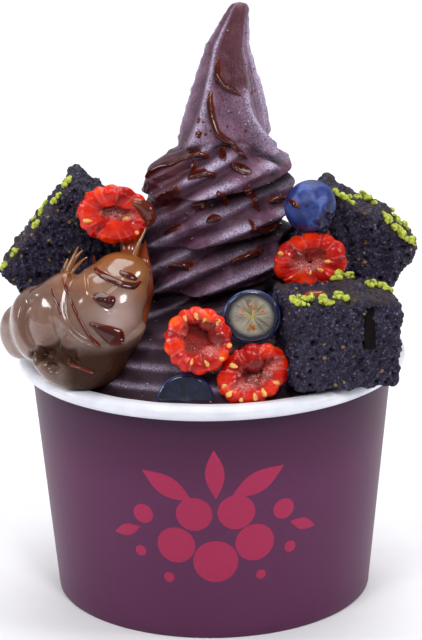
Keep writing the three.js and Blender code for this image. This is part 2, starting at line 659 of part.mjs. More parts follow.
// Firm pieces press into softer ones, and the toppings stay clear of the rim.
const rim = rimRoom();
const berryRooms = [
  ...raspberries.map(raspberryRoom),
  ...wholeBerries.map(wholeBlueberryRoom),
  ...halfBerries.map(halfBlueberryRoom),
];
const chunkRoom = roomFor(chunk, [CHUNK.top / 2, CHUNK.depth / 2, CHUNK.height / 2]);
for (const mesh of [...raspberries, ...halfBerries]) press(mesh, [rim]);
for (const mesh of brownies) press(mesh, [rim, ...berryRooms, chunkRoom]);
const brownieRooms = brownies.map((mesh) => roomFor(mesh, BROWNIES[mesh.name].size.map((size) => size / 2)));
const creamRoom = solidOf(creamShape(CREAM_ROOM).translate(...CREAM_MIDDLE));
press(creamMesh, [rim, ...berryRooms, ...brownieRooms]);
press(swirlMesh, [...berryRooms, ...brownieRooms, creamRoom]);

const acaiBowl = new THREE.Group();
acaiBowl.add(wall, bottom, swirlMesh, creamMesh, chunk, ...brownies, ...raspberries);
acaiBowl.add(...wholeBerries, ...halfBerries);

export default acaiBowl;
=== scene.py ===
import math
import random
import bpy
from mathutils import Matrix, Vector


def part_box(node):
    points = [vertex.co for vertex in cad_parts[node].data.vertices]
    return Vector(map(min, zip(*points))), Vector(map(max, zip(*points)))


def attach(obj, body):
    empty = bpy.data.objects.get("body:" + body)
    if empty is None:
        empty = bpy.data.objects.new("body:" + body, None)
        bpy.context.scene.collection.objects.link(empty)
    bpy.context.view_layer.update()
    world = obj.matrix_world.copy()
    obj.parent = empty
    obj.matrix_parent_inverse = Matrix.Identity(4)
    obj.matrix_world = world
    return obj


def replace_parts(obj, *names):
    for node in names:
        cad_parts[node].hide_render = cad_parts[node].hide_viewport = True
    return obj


bl_info = {
    "name": "Acai Bowl",
    "version": (1, 0, 0),
    "blender": (4, 5, 0),
    "location": "View3D > Sidebar > Acai Bowl",
    "description": "Dresses the packed acai bowl: paper bowl, frozen swirl, toppings, syrup and studio",
    "category": "Object",
}

import bpy
import numpy as np
from mathutils import Matrix, Vector
from mathutils.bvhtree import BVHTree

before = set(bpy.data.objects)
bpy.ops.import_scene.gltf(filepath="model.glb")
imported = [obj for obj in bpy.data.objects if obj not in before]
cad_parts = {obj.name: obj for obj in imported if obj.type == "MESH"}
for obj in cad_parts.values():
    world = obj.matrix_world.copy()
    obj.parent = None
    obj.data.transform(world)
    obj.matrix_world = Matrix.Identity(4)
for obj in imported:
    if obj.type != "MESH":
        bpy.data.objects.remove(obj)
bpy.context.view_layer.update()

# Sizes below are in millimetres unless a name says otherwise; Blender's own unit is the metre.
# Angles round the bowl are degrees from the front (-Y), positive towards +X.
MM = 0.001
WALL_LOW, WALL_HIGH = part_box("bowl_wall")
SWIRL_LOW, SWIRL_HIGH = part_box("acai_swirl")

# ---- The paper bowl ------------------------------------------------------------------------------

RIM_WIDTH = 4.9
RIM_HEIGHT = 4.4
BASE_RADIUS = 46.8
PAPER = 0.9
FOOT_HEIGHT = 5.5
FOOT_WIDTH = 2 * PAPER
BOTTOM_THICKNESS = 0.9
GAP = 0.3  # clearance between the wall and the bottom let into it
BOWL_SIDES = 256
BOTTOM_SIDES = 128
BOTTOM_EYE = 0.4  # radius at which the bottom's faces end, in its middle
SEAM_ANGLE = 158  # where the side wall overlaps itself, at the back

# The motif, in millimetres across and up the front. Berries: middle, radius. Leaves: middle, half
# length, half width, angle.
MOTIF_BERRIES = (
    (-11, 30, 5.6), (0.5, 25, 6.6), (12, 30.5, 5.8), (-5.5, 40, 5.2), (6.5, 40.5, 5.4), (20.5, 40, 3.2),
    (-20.5, 39, 3.0), (-22, 27, 1.7), (23, 27.5, 1.8), (14, 20, 1.5), (-13.5, 19.5, 1.6),
)
MOTIF_LEAVES = (
    (-13, 48.5, 8.2, 3.1, 148), (12.5, 49.5, 8.6, 3.2, 30), (0.5, 52.5, 7.6, 2.7, 92),
    (-26, 33, 4.6, 1.8, 200), (27, 34, 4.6, 1.8, -20),
)
MOTIF_LEVEL = 36  # height at which its widths are true
LEAF_TAPER = 0.75

# ---- The swirl -----------------------------------------------------------------------------------

SLOPE_FOOT = (73.0, 51.6)  # height, radius
SLOPE_TOP = (87.5, 36.5)
NECK = (91.5, 20.5)
CREASE_LEVEL = 124.2
CREASE_DEPTH = 4.2
FLUTE_STARTS = 5
FLUTE_SPACING = 7.2
FLUTE_LEVEL = 112.7
FLUTE_SWAY = 8
CREST_ROUNDING = 0.018
SHOULDER = ((126, 22.4), (129.5, 20.8), (133, 18), (138, 15))
SLOPE_RIDGE_STEP = 4.5
SLOPE_RIDGE_DEPTH = 1.5
PEAK_BASE = (138.0, 15.0)
PEAK_TIP_RADIUS = 3.5
PEAK_RIDGES = ((-108, -8), (-36, -8), (35, 34), (107, 8), (180, 0))  # angle, sweep at the foot
PEAK_FLUTE_DEPTH = 3.6
AXIS_SHIFT = ((80, 0), (96, 3), (122, 3.1), (140, 5), (165, 5.8), (177.5, 9.4))  # height, x
SWIRL_COLUMNS = 380
SWIRL_ROWS = 256

# ---- The toppings --------------------------------------------------------------------------------

BROWNIES = {
    "brownie_left": dict(size=(36, 22, 25), at=(-40.6, -1, 106.2), tilt=-52, turn=0, seed=11, lump=None),
    "brownie_back_right": dict(
        size=(33, 21, 31), at=(38.5, 2, 101.8), tilt=34.5, turn=0, seed=23, lump=(3, 3.4)
    ),
    "brownie_front_right": dict(
        size=(32, 25, 25.2), at=(35.2, -34.2, 88.0), tilt=2.5, turn=16, seed=37, lump=(5, 2.4)
    ),
}
BROWNIE_ROUNDING = 2.6
CRUMB_SIZE = 1.0
CRUMB_VOXEL = 0.31
# Heaps of chopped pistachio on each crust: place along it and from front to back, each -0.5 to 0.5,
# how many crumbs, and how far they spread in millimetres.
PISTACHIO_HEAPS = {
    "brownie_left": ((0.47, -0.3, 5, 2.6), (0.3, -0.42, 4, 1.8), (0.02, -0.44, 3, 1.4),
                     (-0.25, -0.45, 4, 1.8),
                     (-0.42, -0.4, 4, 1.8), (0.1, 0.1, 4, 5)),
    "brownie_back_right": ((-0.42, -0.42, 5, 1.6), (-0.27, -0.44, 5, 1.8), (-0.1, 0.1, 4, 5),
                           (0.1, -0.4, 4, 1.6),
                           (0.27, -0.42, 10, 2.6), (0.42, -0.42, 5, 1.6), (0.3, 0.2, 5, 4)),
    "brownie_front_right": ((-0.46, -0.4, 9, 2.2), (-0.33, -0.25, 5, 3), (-0.2, -0.44, 5, 1.7),
                            (-0.05, -0.3, 5, 2),
                            (0.1, 0.3, 5, 3), (0.2, 0.38, 6, 2.2), (0.37, 0.1, 5, 2.2),
                            (0.45, -0.05, 3, 1.5)),
}
CHUNK_PROUD = 0.55  # of the front brownie's cut side
CHUNK = dict(top=2.6, bottom=3.6, height=12.6, depth=6, across=6.2, up=5.2)

# Hollow: middle (across, up the cut face), half width, half height and depth. Seeds: where they lie.
RASPBERRIES = {
    "raspberry_left": dict(
        size=(21.6, 17.4, 10), at=(-27.1, -17.6, 120.0), tilt=4, turn=-6, lean=8, seed=3, cells=13,
        hollow=(1.4, 0.5, 7.2, 2.2, 3.0), seeds=((3.7, -0.7), (8.3, 1.8), (6.9, -4.2), (-7.2, -2.2)),
    ),
    "raspberry_right": dict(
        size=(21.8, 17.0, 10), at=(28.5, -19.5, 105.6), tilt=-6, turn=8, lean=12, seed=5, cells=12,
        hollow=(-0.8, 0.8, 6.2, 4.0, 3.2), seeds=((-8.2, 3.6), (4.6, -0.6), (2.0, -2.6), (-0.8, -3.0)),
    ),
    "raspberry_front_left": dict(
        size=(19.6, 19.4, 10), at=(-3.7, -44.6, 90.1), tilt=20, turn=0, lean=20, seed=7, cells=14,
        hollow=(1.2, 0.4, 7.2, 5.8, 4.8),
        seeds=((-5.4, 4.6), (-2.7, 6.2), (0, 6.3), (3.6, 6.6), (0.3, -6.2), (4.4, -5.2),
               (7.6, -2.6), (8.4, 1.4)),
    ),
    "raspberry_front_right": dict(
        size=(21.6, 16.8, 9.4), at=(11.5, -45.6, 80.2), tilt=-28, turn=4, lean=24, seed=9, cells=13,
        hollow=(0.5, -0.6, 8.4, 3.8, 4.2),
        seeds=((-3.8, 4.6), (-8.6, 0.9), (-8.6, -1.6), (-6.6, -4.4), (-3.0, -5.8), (-0.2, -6.0),
               (4.1, -5.4)),
    ),
}
CUT_FACE_FORWARD = 0.42
DRUPELET_RADIUS = 2.15
RASPBERRY_VOXEL = 0.25

WHOLE_BLUEBERRIES = {
    "blueberry_whole": dict(radius=7.6, at=(28.8, -17.6, 121.5), crown=(0.62, -0.68, -0.39), seed=2),
    "blueberry_tucked": dict(radius=7.4, at=(33.7, -16.6, 90.0), crown=(-0.3, 0.6, -0.7), seed=4),
}
HALF_BLUEBERRIES = {
    "blueberry_half_center": dict(radius=8.1, at=(11.3, -38.4, 95.2), turn=4, lean=16, seed=6, ripe=0.0),
    "blueberry_half_rim": dict(radius=8.2, at=(-7.2, -46.0, 73.0), turn=-4, lean=12, seed=8, ripe=1.0),
}
BLUEBERRY_FLATTENING = 0.93
CROWN_RADIUS = 2.6
HALF_FACE_FORWARD = 0.35

CREAM_MIDDLE = (-38, -31, 90)
CREAM_BLEND = 0.7
CREAM_FOLDS = (  # centre and half sizes of each fold
    ((-32.2, -33.5, 93.0), (13.4, 12.0, 14.8)),
    ((-41.5, -30.0, 91.6), (12.4, 12.2, 14.2)),
    ((-49.4, -24.5, 88.8), (8.8, 10.8, 11.6)),
    ((-55.4, -18.5, 85.2), (6.0, 8.6, 8.2)),
    ((-37.5, -37.0, 83.2), (13.8, 8.8, 10.4)),
    ((-25.4, -26.5, 104.0), (8.4, 8.0, 6.6)),
    ((-28.6, -29.5, 99.8), (10.6, 10.5, 9.4)),
)
# Pulled peaks and threads of cream: places they run through, with their half width.
CREAM_THREADS = (
    ((-42.5, -27.0, 102.5, 1.6), (-40.8, -25.8, 105.6, 1.0), (-38.6, -24.6, 108.8, 0.6),
     (-36.2, -24.0, 111.3, 0.25)),
    ((-42.0, -27.0, 103.0, 1.3), (-40.4, -25.8, 106.4, 0.9), (-38.8, -24.6, 109.6, 0.5),
     (-37.6, -24.0, 112.3, 0.2)),
    ((-42.8, -26.5, 103.0, 1.0), (-41.6, -25.4, 106.2, 0.6), (-40.6, -24.4, 108.9, 0.3)),
    ((-41.0, -26.5, 103.2, 1.2), (-38.8, -25.2, 106.0, 0.7), (-36.4, -24.2, 108.2, 0.35),
     (-34.9, -23.8, 109.0, 0.2)),
    ((-22.5, -26.0, 107.0, 0.9), (-20.6, -24.0, 112.4, 0.6), (-18.6, -22.0, 116.0, 0.35),
     (-17.9, -21.0, 118.0, 0.2)),
)

# ---- Helpers: numbers ----------------------------------------------------------------------------


def smooth(low, high, x):
    t = np.clip((x - low) / (high - low), 0, 1)
    return t * t * (3 - 2 * t)


def bell(distance, width):
    return np.exp(-((distance / width) ** 2))


def steps(table, z):
    """A value read from (height, value) steps, straight between them."""
    heights, values = zip(*table)
    return np.interp(z, heights, values)


SKEW = np.array(Matrix.Rotation(0.8, 3, (1, 2, 3)))  # turns noise out of line with the axes


def lattice(cell, seed):
    """Repeatable random numbers, 0 to 1, for whole-numbered cells."""
    x, y, z = (cell[:, axis].astype(np.int64).astype(np.uint64) for axis in range(3))
    mixed = x * np.uint64(0x9E3779B97F4A7C15) + y * np.uint64(0xC2B2AE3D27D4EB4F)
    mixed = mixed + z * np.uint64(0x165667B19E3779F9) + np.uint64(seed * 0x9E3779B1)
    for _ in range(2):
        mixed = (mixed ^ (mixed >> np.uint64(32))) * np.uint64(0xD6E8FEB86659FD93)
    return (mixed >> np.uint64(32)).astype(float) / 2**32


def clouds(points, size, seed=0):
    """Smooth noise, -1 to 1, with lumps about size across."""
    scaled = points @ SKEW / size + 0.37 * seed
    cell = np.floor(scaled)
    part = scaled - cell
    part = part * part * (3 - 2 * part)
    total = np.zeros(len(points))
    for corner in np.ndindex(2, 2, 2):
        weight = np.prod(np.where(corner, part, 1 - part), axis=1)
        total += weight * lattice(cell + np.array(corner), seed)
    return 2 * total - 1


def grains(points, size, seed=0):
    """Packed grains about size across: how far a point is from the nearest grain's middle, how far
    from the border between two grains, both in grain sizes, and a random number for the grain."""
    scaled = points @ SKEW / size
    base = np.floor(scaled)
    near = np.full(len(points), 9.0)
    second = near.copy()
    lot = np.zeros(len(points))
    for step in np.ndindex(3, 3, 3):
        cell = base + np.array(step) - 1
        middle = cell + np.stack([lattice(cell, seed + axis) for axis in (1, 2, 3)], axis=1)
        far = np.linalg.norm(scaled - middle, axis=1)
        closer = far < near
        second = np.where(closer, near, np.minimum(second, far))
        near = np.where(closer, far, near)
        lot = np.where(closer, lattice(cell, seed + 4), lot)
    return near, second - near, lot


def unevenness(points, seed):
    """The same broad relief that the solid brownies have."""
    x, y, z = points.T

    def wave(a, b, c, d):
        return np.sin(a * x + b * y + c * z + d * seed)

    broad = wave(0.71, 0.53, 0.37, 1.7) + wave(-0.46, 0.83, 0.61, 2.9) + wave(0.93, -0.35, 0.88, 4.3)
    return (broad + wave(1.9, 1.3, -1.6, 5.1)) / 3


# ---- Helpers: meshes -----------------------------------------------------------------------------


def clear_selection():
    if bpy.context.object and bpy.context.object.mode != "OBJECT":
        bpy.ops.object.mode_set(mode="OBJECT")
    bpy.ops.object.select_all(action="DESELECT")


def choose(*pieces):
    """Selects these objects alone and makes the first of them active."""
    clear_selection()
    for piece in pieces:
        piece.select_set(True)
    bpy.context.view_layer.objects.active = pieces[0]


def points_of(piece):
    """The piece's points in millimetres."""
    flat = np.empty(3 * len(piece.data.vertices))
    piece.data.vertices.foreach_get("co", flat)
    return flat.reshape(-1, 3) / MM


def move_points(piece, points):
    piece.data.vertices.foreach_set("co", (points * MM).ravel())
    piece.data.update()


def directions_out(piece):
    """The direction out of the surface at each point."""
    flat = np.empty(3 * len(piece.data.vertices))
    piece.data.vertex_normals.foreach_get("vector", flat)
    return flat.reshape(-1, 3)


def paint(piece, name, values):
    """Keeps a number for each point, which the material reads by its name."""
    layer = piece.data.attributes.new(name, "FLOAT", "POINT")
    layer.data.foreach_set("value", np.asarray(values, dtype=np.float32))


def paint_places(piece, name, values):
    """Keeps a place for each point, such as where it lies on a cut face."""
    layer = piece.data.attributes.new(name, "FLOAT_VECTOR", "POINT")
    layer.data.foreach_set("vector", np.asarray(values, dtype=np.float32).ravel())


def modify(piece, kind, **settings):
    """Adds a modifier with these settings and applies it."""
    choose(piece)
    modifier = piece.modifiers.new(kind.lower(), kind)
    for name, value in settings.items():
        setattr(modifier, name, value)
    bpy.ops.object.modifier_apply(modifier=modifier.name)


def join(pieces):
    choose(*pieces)
    if len(pieces) > 1:
        bpy.ops.object.join()
    return pieces[0]


def place(piece, matrix):
    """Turns the mesh and moves it to its place; the matrix's shift is in millimetres."""
    metres = matrix.copy()
    metres.translation *= MM
    piece.data.transform(metres)
    piece.data.update()


def placing(at, tilt=0, turn=0, lean=0, **_):
    """Tilt turns a piece in the front plane, turn about the upright axis, and lean tips it back."""
    turned = Matrix.Rotation(math.radians(turn), 4, "Z") @ Matrix.Rotation(math.radians(-lean), 4, "X")
    return Matrix.Translation(at) @ turned @ Matrix.Rotation(math.radians(tilt), 4, "Y")


FACING = Matrix.Rotation(math.radians(90), 4, "X")  # turns a shape's +Z side to the front


def ball(segments, rings, shape):
    """A sphere whose points go where shape says. It gets each point's turn round Z in radians and
    its way from the lower pole, 0, to the upper, 1, and gives points in millimetres."""
    clear_selection()
    bpy.ops.mesh.primitive_uv_sphere_add(segments=segments, ring_count=rings, radius=1)
    piece = bpy.context.object
    x, y, z = (points_of(piece) * MM).T
    way = 1 - np.arccos(np.clip(z, -1, 1)) / np.pi
    move_points(piece, np.stack(shape(np.arctan2(y, x), way), axis=1))
    return piece


def along_run(stops, count):
    """Evenly numbered places along a run, rounded through its stops."""
    stops = np.array(stops, dtype=float)
    spans = np.arange(len(stops))
    t = np.linspace(0, len(stops) - 1, count)
    eased = [np.interp(t, spans, column) for column in stops.T]
    for _ in range(3):
        eased = [np.convolve(np.pad(c, 2, mode="edge"), np.ones(5) / 5, mode="valid") for c in eased]
    return np.stack(eased, axis=1)


def strand(stops):
    """A round strand through places (x, y, z, half width)."""
    path = along_run(stops, 16 * len(stops))

    def shape(turn, way):
        at = way * (len(path) - 1)
        stations = range(len(path))
        slopes = [np.gradient(column) for column in path.T[:3]]
        middle = np.stack([np.interp(at, stations, column) for column in path.T], axis=1)
        heading = np.stack([np.interp(at, stations, slope) for slope in slopes], axis=1)
        heading /= np.linalg.norm(heading, axis=1)[:, None] + 1e-9
        side = np.cross(heading, (0, 1, 0))
        side /= np.linalg.norm(side, axis=1)[:, None] + 1e-9
        other = np.cross(heading, side)
        reach = middle[:, 3] * np.sqrt(np.clip(1 - np.abs(2 * way - 1) ** 8, 0, 1))
        spread = side * (reach * np.cos(turn))[:, None] + other * (reach * np.sin(turn))[:, None]
        return (middle[:, :3] + spread).T

    return ball(16, 10 * len(stops), shape)


def copies(template, matrices):
    """One piece made of copies of the template, each at its matrix; the template goes."""
    made = []
    for matrix in matrices:
        copy = template.copy()
        copy.data = template.data.copy()
        bpy.context.collection.objects.link(copy)
        place(copy, matrix)
        made.append(copy)
    bpy.data.objects.remove(template)
    return join(made)


def lathe(profile, sides):
    """A closed ring with this (radius, height) profile, extruded loop by loop from a circle."""
    (radius, height), *rest = profile
    clear_selection()
    bpy.ops.mesh.primitive_circle_add(vertices=sides, radius=radius * MM, location=(0, 0, height * MM))
    bpy.ops.object.mode_set(mode="EDIT")
    for next_radius, next_height in [*rest, profile[0]]:
        rise = (0, 0, (next_height - height) * MM)
        bpy.ops.mesh.extrude_region_move(TRANSFORM_OT_translate={"value": rise})
        growth = next_radius / radius
        bpy.ops.transform.resize(value=(growth, growth, 1), center_override=(0, 0, next_height * MM))
        radius, height = next_radius, next_height
    bpy.ops.mesh.select_all(action="SELECT")
    bpy.ops.mesh.remove_doubles(threshold=0.002 * MM)
    bpy.ops.mesh.normals_make_consistent(inside=False)
    bpy.ops.object.mode_set(mode="OBJECT")
    bpy.ops.object.transform_apply(location=True, rotation=True, scale=True)
    return bpy.context.object


def arc(middle, radius, low, high, count):
    """Points (radius, height) along an arc, from one angle to another in degrees."""
    angles = np.radians(np.linspace(low, high, count))
    return [(middle[0] + radius * math.cos(a), middle[1] + radius * math.sin(a)) for a in angles]


def finish_piece(piece, name, replaced=(), materials=(), sharp=None):
    """Names the piece, gives it its materials and ties it to the frame."""
    piece.name = piece.data.name = name
    for material in materials:
        piece.data.materials.append(material)
    choose(piece)
    if sharp is None:
        bpy.ops.object.shade_smooth()
    else:
        bpy.ops.object.shade_smooth_by_angle(angle=math.radians(sharp))
    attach(piece, "root")
    if replaced:
        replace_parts(piece, *replaced)
    return piece


# ---- Helpers: materials --------------------------------------------------------------------------


def linear(code):
    """The linear colour of an sRGB hex value."""
    channels = [int(code[i : i + 2], 16) / 255 for i in (1, 3, 5)]
    return [c / 12.92 if c <= 0.04045 else ((c + 0.055) / 1.055) ** 2.4 for c in channels] + [1.0]


def node(tree, kind, settings=()):
    """Adds a node. Settings are its properties, its ramp's stops and its inputs; an input is a value
    or the socket to join to it."""
    made = tree.nodes.new("ShaderNode" + kind)
    for name, value in dict(settings).items():
        if name == "stops":
            elements = made.color_ramp.elements
            while len(elements) < len(value):
                elements.new(0.5)
            for stop, (position, shown) in zip(elements, value):
                stop.position = position
                stop.color = shown
        elif isinstance(name, str) and hasattr(made, name):
            setattr(made, name, value)
        elif isinstance(value, bpy.types.NodeSocket):
            tree.links.new(value, made.inputs[name])
        else:
            made.inputs[name].default_value = value
    return made


def material(name, **settings):
    """A new material and its tree and shader, with the shader's own sockets set."""
    made = bpy.data.materials.new(name)
    made.use_nodes = True
    tree = made.node_tree
    shader = tree.nodes["Principled BSDF"]
    for socket, value in settings.items():
        shader.inputs[socket.replace("_", " ")].default_value = value
    return made, tree, shader


AMOUNT, COLOR_A, COLOR_B, COLOR_OUT = 0, 6, 7, 2  # a colour Mix node's sockets


def shade(value):
    """A colour as a node takes it, from a hex code or as it is."""
    return linear(value) if isinstance(value, str) else value


def noise(tree, size, detail, **settings):
    """Noise in the object's own coordinates, with lumps this many millimetres across."""
    place_in = node(tree, "TexCoord").outputs["Object"]
    settings.update({"Scale": 1 / (size * MM), "Detail": detail, "Vector": place_in})
    return node(tree, "TexNoise", settings).outputs["Fac"]


def cells(tree, size):
    """Cells about this many millimetres across: their distances and their random colours."""
    place_in = node(tree, "TexCoord").outputs["Object"]
    return node(tree, "TexVoronoi", {"Scale": 1 / (size * MM), "Vector": place_in}).outputs


def attribute(tree, name, output="Fac"):
    """What is painted on the piece under this name."""
    return node(tree, "Attribute", {"attribute_name": name}).outputs[output]


def blend(tree, amount, first, second):
    """The first colour where the amount is 0, the second where it is 1."""
    settings = {"data_type": "RGBA", AMOUNT: amount, COLOR_A: shade(first), COLOR_B: shade(second)}
    return node(tree, "Mix", settings).outputs[COLOR_OUT]


def remap(tree, value, low, high, start=0.0, end=1.0):
    """Brings a value from one range to another and holds it at the ends."""
    settings = {"Value": value, "From Min": low, "From Max": high, "To Min": start, "To Max": end}
    return node(tree, "MapRange", settings).outputs[0]


def ramp(tree, value, *stops):
    """A colour that runs through these stops, each a position and a colour."""
    shown = [(position, shade(stop)) for position, stop in stops]
    return node(tree, "ValToRGB", {"stops": shown, "Fac": value}).outputs["Color"]


def calculate(tree, operation, *values):
    return node(tree, "Math", {"operation": operation, **dict(enumerate(values))}).outputs[0]


def bump(tree, height, strength, distance):
    """A surface roughened by this height, with its distance in millimetres."""
    settings = {"Height": height, "Strength": strength, "Distance": distance * MM}
    return node(tree, "Bump", settings).outputs["Normal"]


def join_shader(tree, shader, **sockets):
    """Joins what varies over the surface to the shader's sockets of these names."""
    for name, source in sockets.items():
        tree.links.new(source, shader.inputs[name.replace("_", " ")])


# ---- Settings ------------------------------------------------------------------------------------


def length(name, description, default):
    return bpy.props.FloatProperty(name=name, description=description, default=default, unit="LENGTH",
                                   precision=4)


def color(name, description, code):
    return bpy.props.FloatVectorProperty(name=name, description=description, default=linear(code),
                                         size=4, subtype="COLOR", min=0, max=1)


def power(name, description, default):
    return bpy.props.FloatProperty(name=name, description=description, default=default, unit="POWER")


class AcaiBowlSizes(bpy.types.PropertyGroup):
    """Sizes of the bowl and its swirl."""

    rim_radius: length("Rim radius", "Outer radius of the rolled rim", WALL_HIGH.x)
    bowl_height: length("Bowl height", "Height of the rim's top above the table", WALL_HIGH.z)
    peak_height: length("Peak height", "Height of the swirl's tip above the table", SWIRL_HIGH.z)
    ring_pitch: length("Ring pitch", "Height of one wound ring of the swirl", 0.0144)
    flute_depth: length("Flute depth", "Depth of the flutes that cut the rings", 0.0038)


class AcaiBowlColors(bpy.types.PropertyGroup):
    """Colours of the bowl, the swirl and the toppings."""

    print_color: color("Print", "Ink that covers the paper bowl", "#582c4c")
    motif_color: color("Motif", "Ink of the berry motif", "#a42c52")
    paper_color: color("Paper", "Bleached paper of the rim", "#eef0f4")
    acai_color: color("Acai", "Frozen acai", "#62364c")
    frost_color: color("Frost", "Ice crystals on the acai's crests", "#c0b3cf")
    syrup_color: color("Syrup", "Dark syrup", "#3a0c06")
    brownie_color: color("Brownie", "Dark brownie crumb", "#231b34")
    pistachio_color: color("Pistachio", "Chopped pistachio", "#a3ad2c")
    raspberry_color: color("Raspberry", "Raspberry flesh", "#b20c03")
    blueberry_color: color("Blueberry", "Blueberry skin under its bloom", "#24377a")
    cream_color: color("Cream", "Chocolate hazelnut cream", "#7a594a")


class AcaiBowlStage(bpy.types.PropertyGroup):
    """The studio round the bowl."""

    floor_color: color("Floor", "Pale studio floor", "#f4f4f6")
    key_power: power("Key light", "Power of the main light", 4.0)
    fill_power: power("Side lights", "Power of each side light", 3.0)


# ---- Paper bowl ----------------------------------------------------------------------------------


def printed_paper(colors):
    # Offset-printed paper board under a satin varnish: plum ink, faint fibres and a soft sheen. The plum
    # is darkened towards the rim by painted shade, as if the rim shadowed the wall.
    made, tree, shader = material("printed paper board", Roughness=0.4, Specular_IOR_Level=0.13)
    fibres = noise(tree, 1.2, 4.0)
    place_in = node(tree, "TexCoord").outputs["Object"]
    height = node(tree, "SeparateXYZ", {"Vector": place_in}).outputs["Z"]
    # Painted shade: the plum darkens towards the top of the wall, under the rim.
    darker = remap(tree, height, 46 * MM, 70 * MM, 0, 0.85)
    ink = blend(tree, darker, colors.print_color, "#331a2e")
    faded = remap(tree, fibres, 0, 1, 1.08, 0.9)
    printed = node(tree, "VectorMath", {"operation": "SCALE", 0: ink, "Scale": faded}).outputs["Vector"]
    join_shader(tree, shader, Base_Color=printed, Normal=bump(tree, fibres, 0.12, 0.05))
    return made


def coated_paper(colors):
    # Bleached board with a thin sealing film: cool white, slightly glossy, with soft press marks in its
    # relief and painted blue-grey shade laid over them.
    made, tree, shader = material("coated white paper", Roughness=0.34, Subsurface_Weight=0.12,
                                  Subsurface_Radius=(0.002, 0.002, 0.0025), Subsurface_Scale=1.0)
    press_relief_and_shade = noise(tree, 7, 3.0)
    # Painted shade: the noise that dents the rim also greys it towards blue, as shade on its facets.
    white = blend(tree, press_relief_and_shade, colors.paper_color, "#c9cbd8")
    join_shader(tree, shader, Base_Color=white, Normal=bump(tree, press_relief_and_shade, 0.25, 0.3))
    return made


def motif_ink(colors):
    # Screen-printed spot ink: flat crimson with the board's faint fibre showing through.
    made, tree, shader = material("crimson spot ink", Roughness=0.4, Specular_IOR_Level=0.15)
    darker = [0.8 * channel for channel in colors.motif_color[:3]] + [1]
    join_shader(tree, shader, Base_Color=blend(tree, noise(tree, 0.9, 3.0), colors.motif_color, darker))
    return made


def wall_radius(z, sizes):
    under_rim = sizes.bowl_height / MM - RIM_HEIGHT
    top = sizes.rim_radius / MM - RIM_WIDTH + PAPER
    return BASE_RADIUS + (top - BASE_RADIUS) * z / under_rim


def bowl_profile(sizes):
    """The wall's outline: foot, outside, rolled rim and inside, as (radius, height)."""
    rim, top = sizes.rim_radius / MM, sizes.bowl_height / MM
    under = top - RIM_HEIGHT
    foot_inner = BASE_RADIUS - FOOT_WIDTH
    roll = RIM_HEIGHT / 2
    outside = [(wall_radius(z, sizes), z) for z in np.linspace(0.5, under - 0.3, 24)]
    outer_roll = arc((rim - roll, top - roll), roll, -115, 90, 17)
    inner_roll = arc((rim - RIM_WIDTH + 1.3, top - 1.3), 1.3, 90, 172, 8)
    inside = [(wall_radius(z, sizes) - PAPER, z) for z in np.linspace(under, FOOT_HEIGHT, 14)]
    return [(foot_inner, 0), (BASE_RADIUS - 0.4, 0), *outside, *outer_roll, *inner_roll, *inside,
            (foot_inner, FOOT_HEIGHT)]


def press_marks(wall, sizes):
    """Dents the rolled rim a little and lifts the side wall where it overlaps itself."""
    x, y, z = points_of(wall).T
    around = np.arctan2(x, -y)
    radius = np.hypot(x, y)
    top = sizes.bowl_height / MM
    lip = smooth(top - RIM_HEIGHT - 1, top - 2, z)
    ring = np.stack([58 * np.sin(around), 58 * np.cos(around), 0 * around], axis=1)
    dents = 0.28 * clouds(ring, 9, 1) + 0.16 * clouds(ring, 4.2, 2)
    past_seam = around - math.radians(SEAM_ANGLE)
    overlap = 0.45 * smooth(0, 0.006, past_seam) * (1 - smooth(0.1, 0.35, past_seam))
    outside = (z > 1) * (radius > wall_radius(z, sizes) - 0.4)
    growth = (radius + lip * dents * 0.8 + overlap * (1 - lip) * outside) / radius
    middle = top - RIM_HEIGHT / 2
    squeeze = 1 + 0.05 * clouds(ring, 6, 3) * lip
    squeezed = middle + (z - middle) * squeeze + 0.25 * dents * lip
    move_points(wall, np.stack([x * growth, y * growth, np.where(lip > 0, squeezed, z)], axis=1))


def motif_lens(sizes, middle, half, wide, taper=0, angle=0):
    """A lens of ink on the wall, a few hundredths of a millimetre proud: a disc, or a leaf that
    tapers towards its ends."""
    c, s = math.cos(math.radians(angle)), math.sin(math.radians(angle))

    def shape(turn, way):
        out = np.sin(np.pi * way)
        a = half * out * np.cos(turn)
        b = wide * out * np.sin(turn) * (1 - taper * (out * np.cos(turn)) ** 2)
        across, up = middle[0] + a * c - b * s, middle[1] + a * s + b * c
        radius = wall_radius(up, sizes) + 0.03 - 0.09 * np.cos(np.pi * way)
        turned = across / wall_radius(MOTIF_LEVEL, sizes)
        return radius * np.sin(turned), -radius * np.cos(turned), up

    return ball(48, 12, shape)


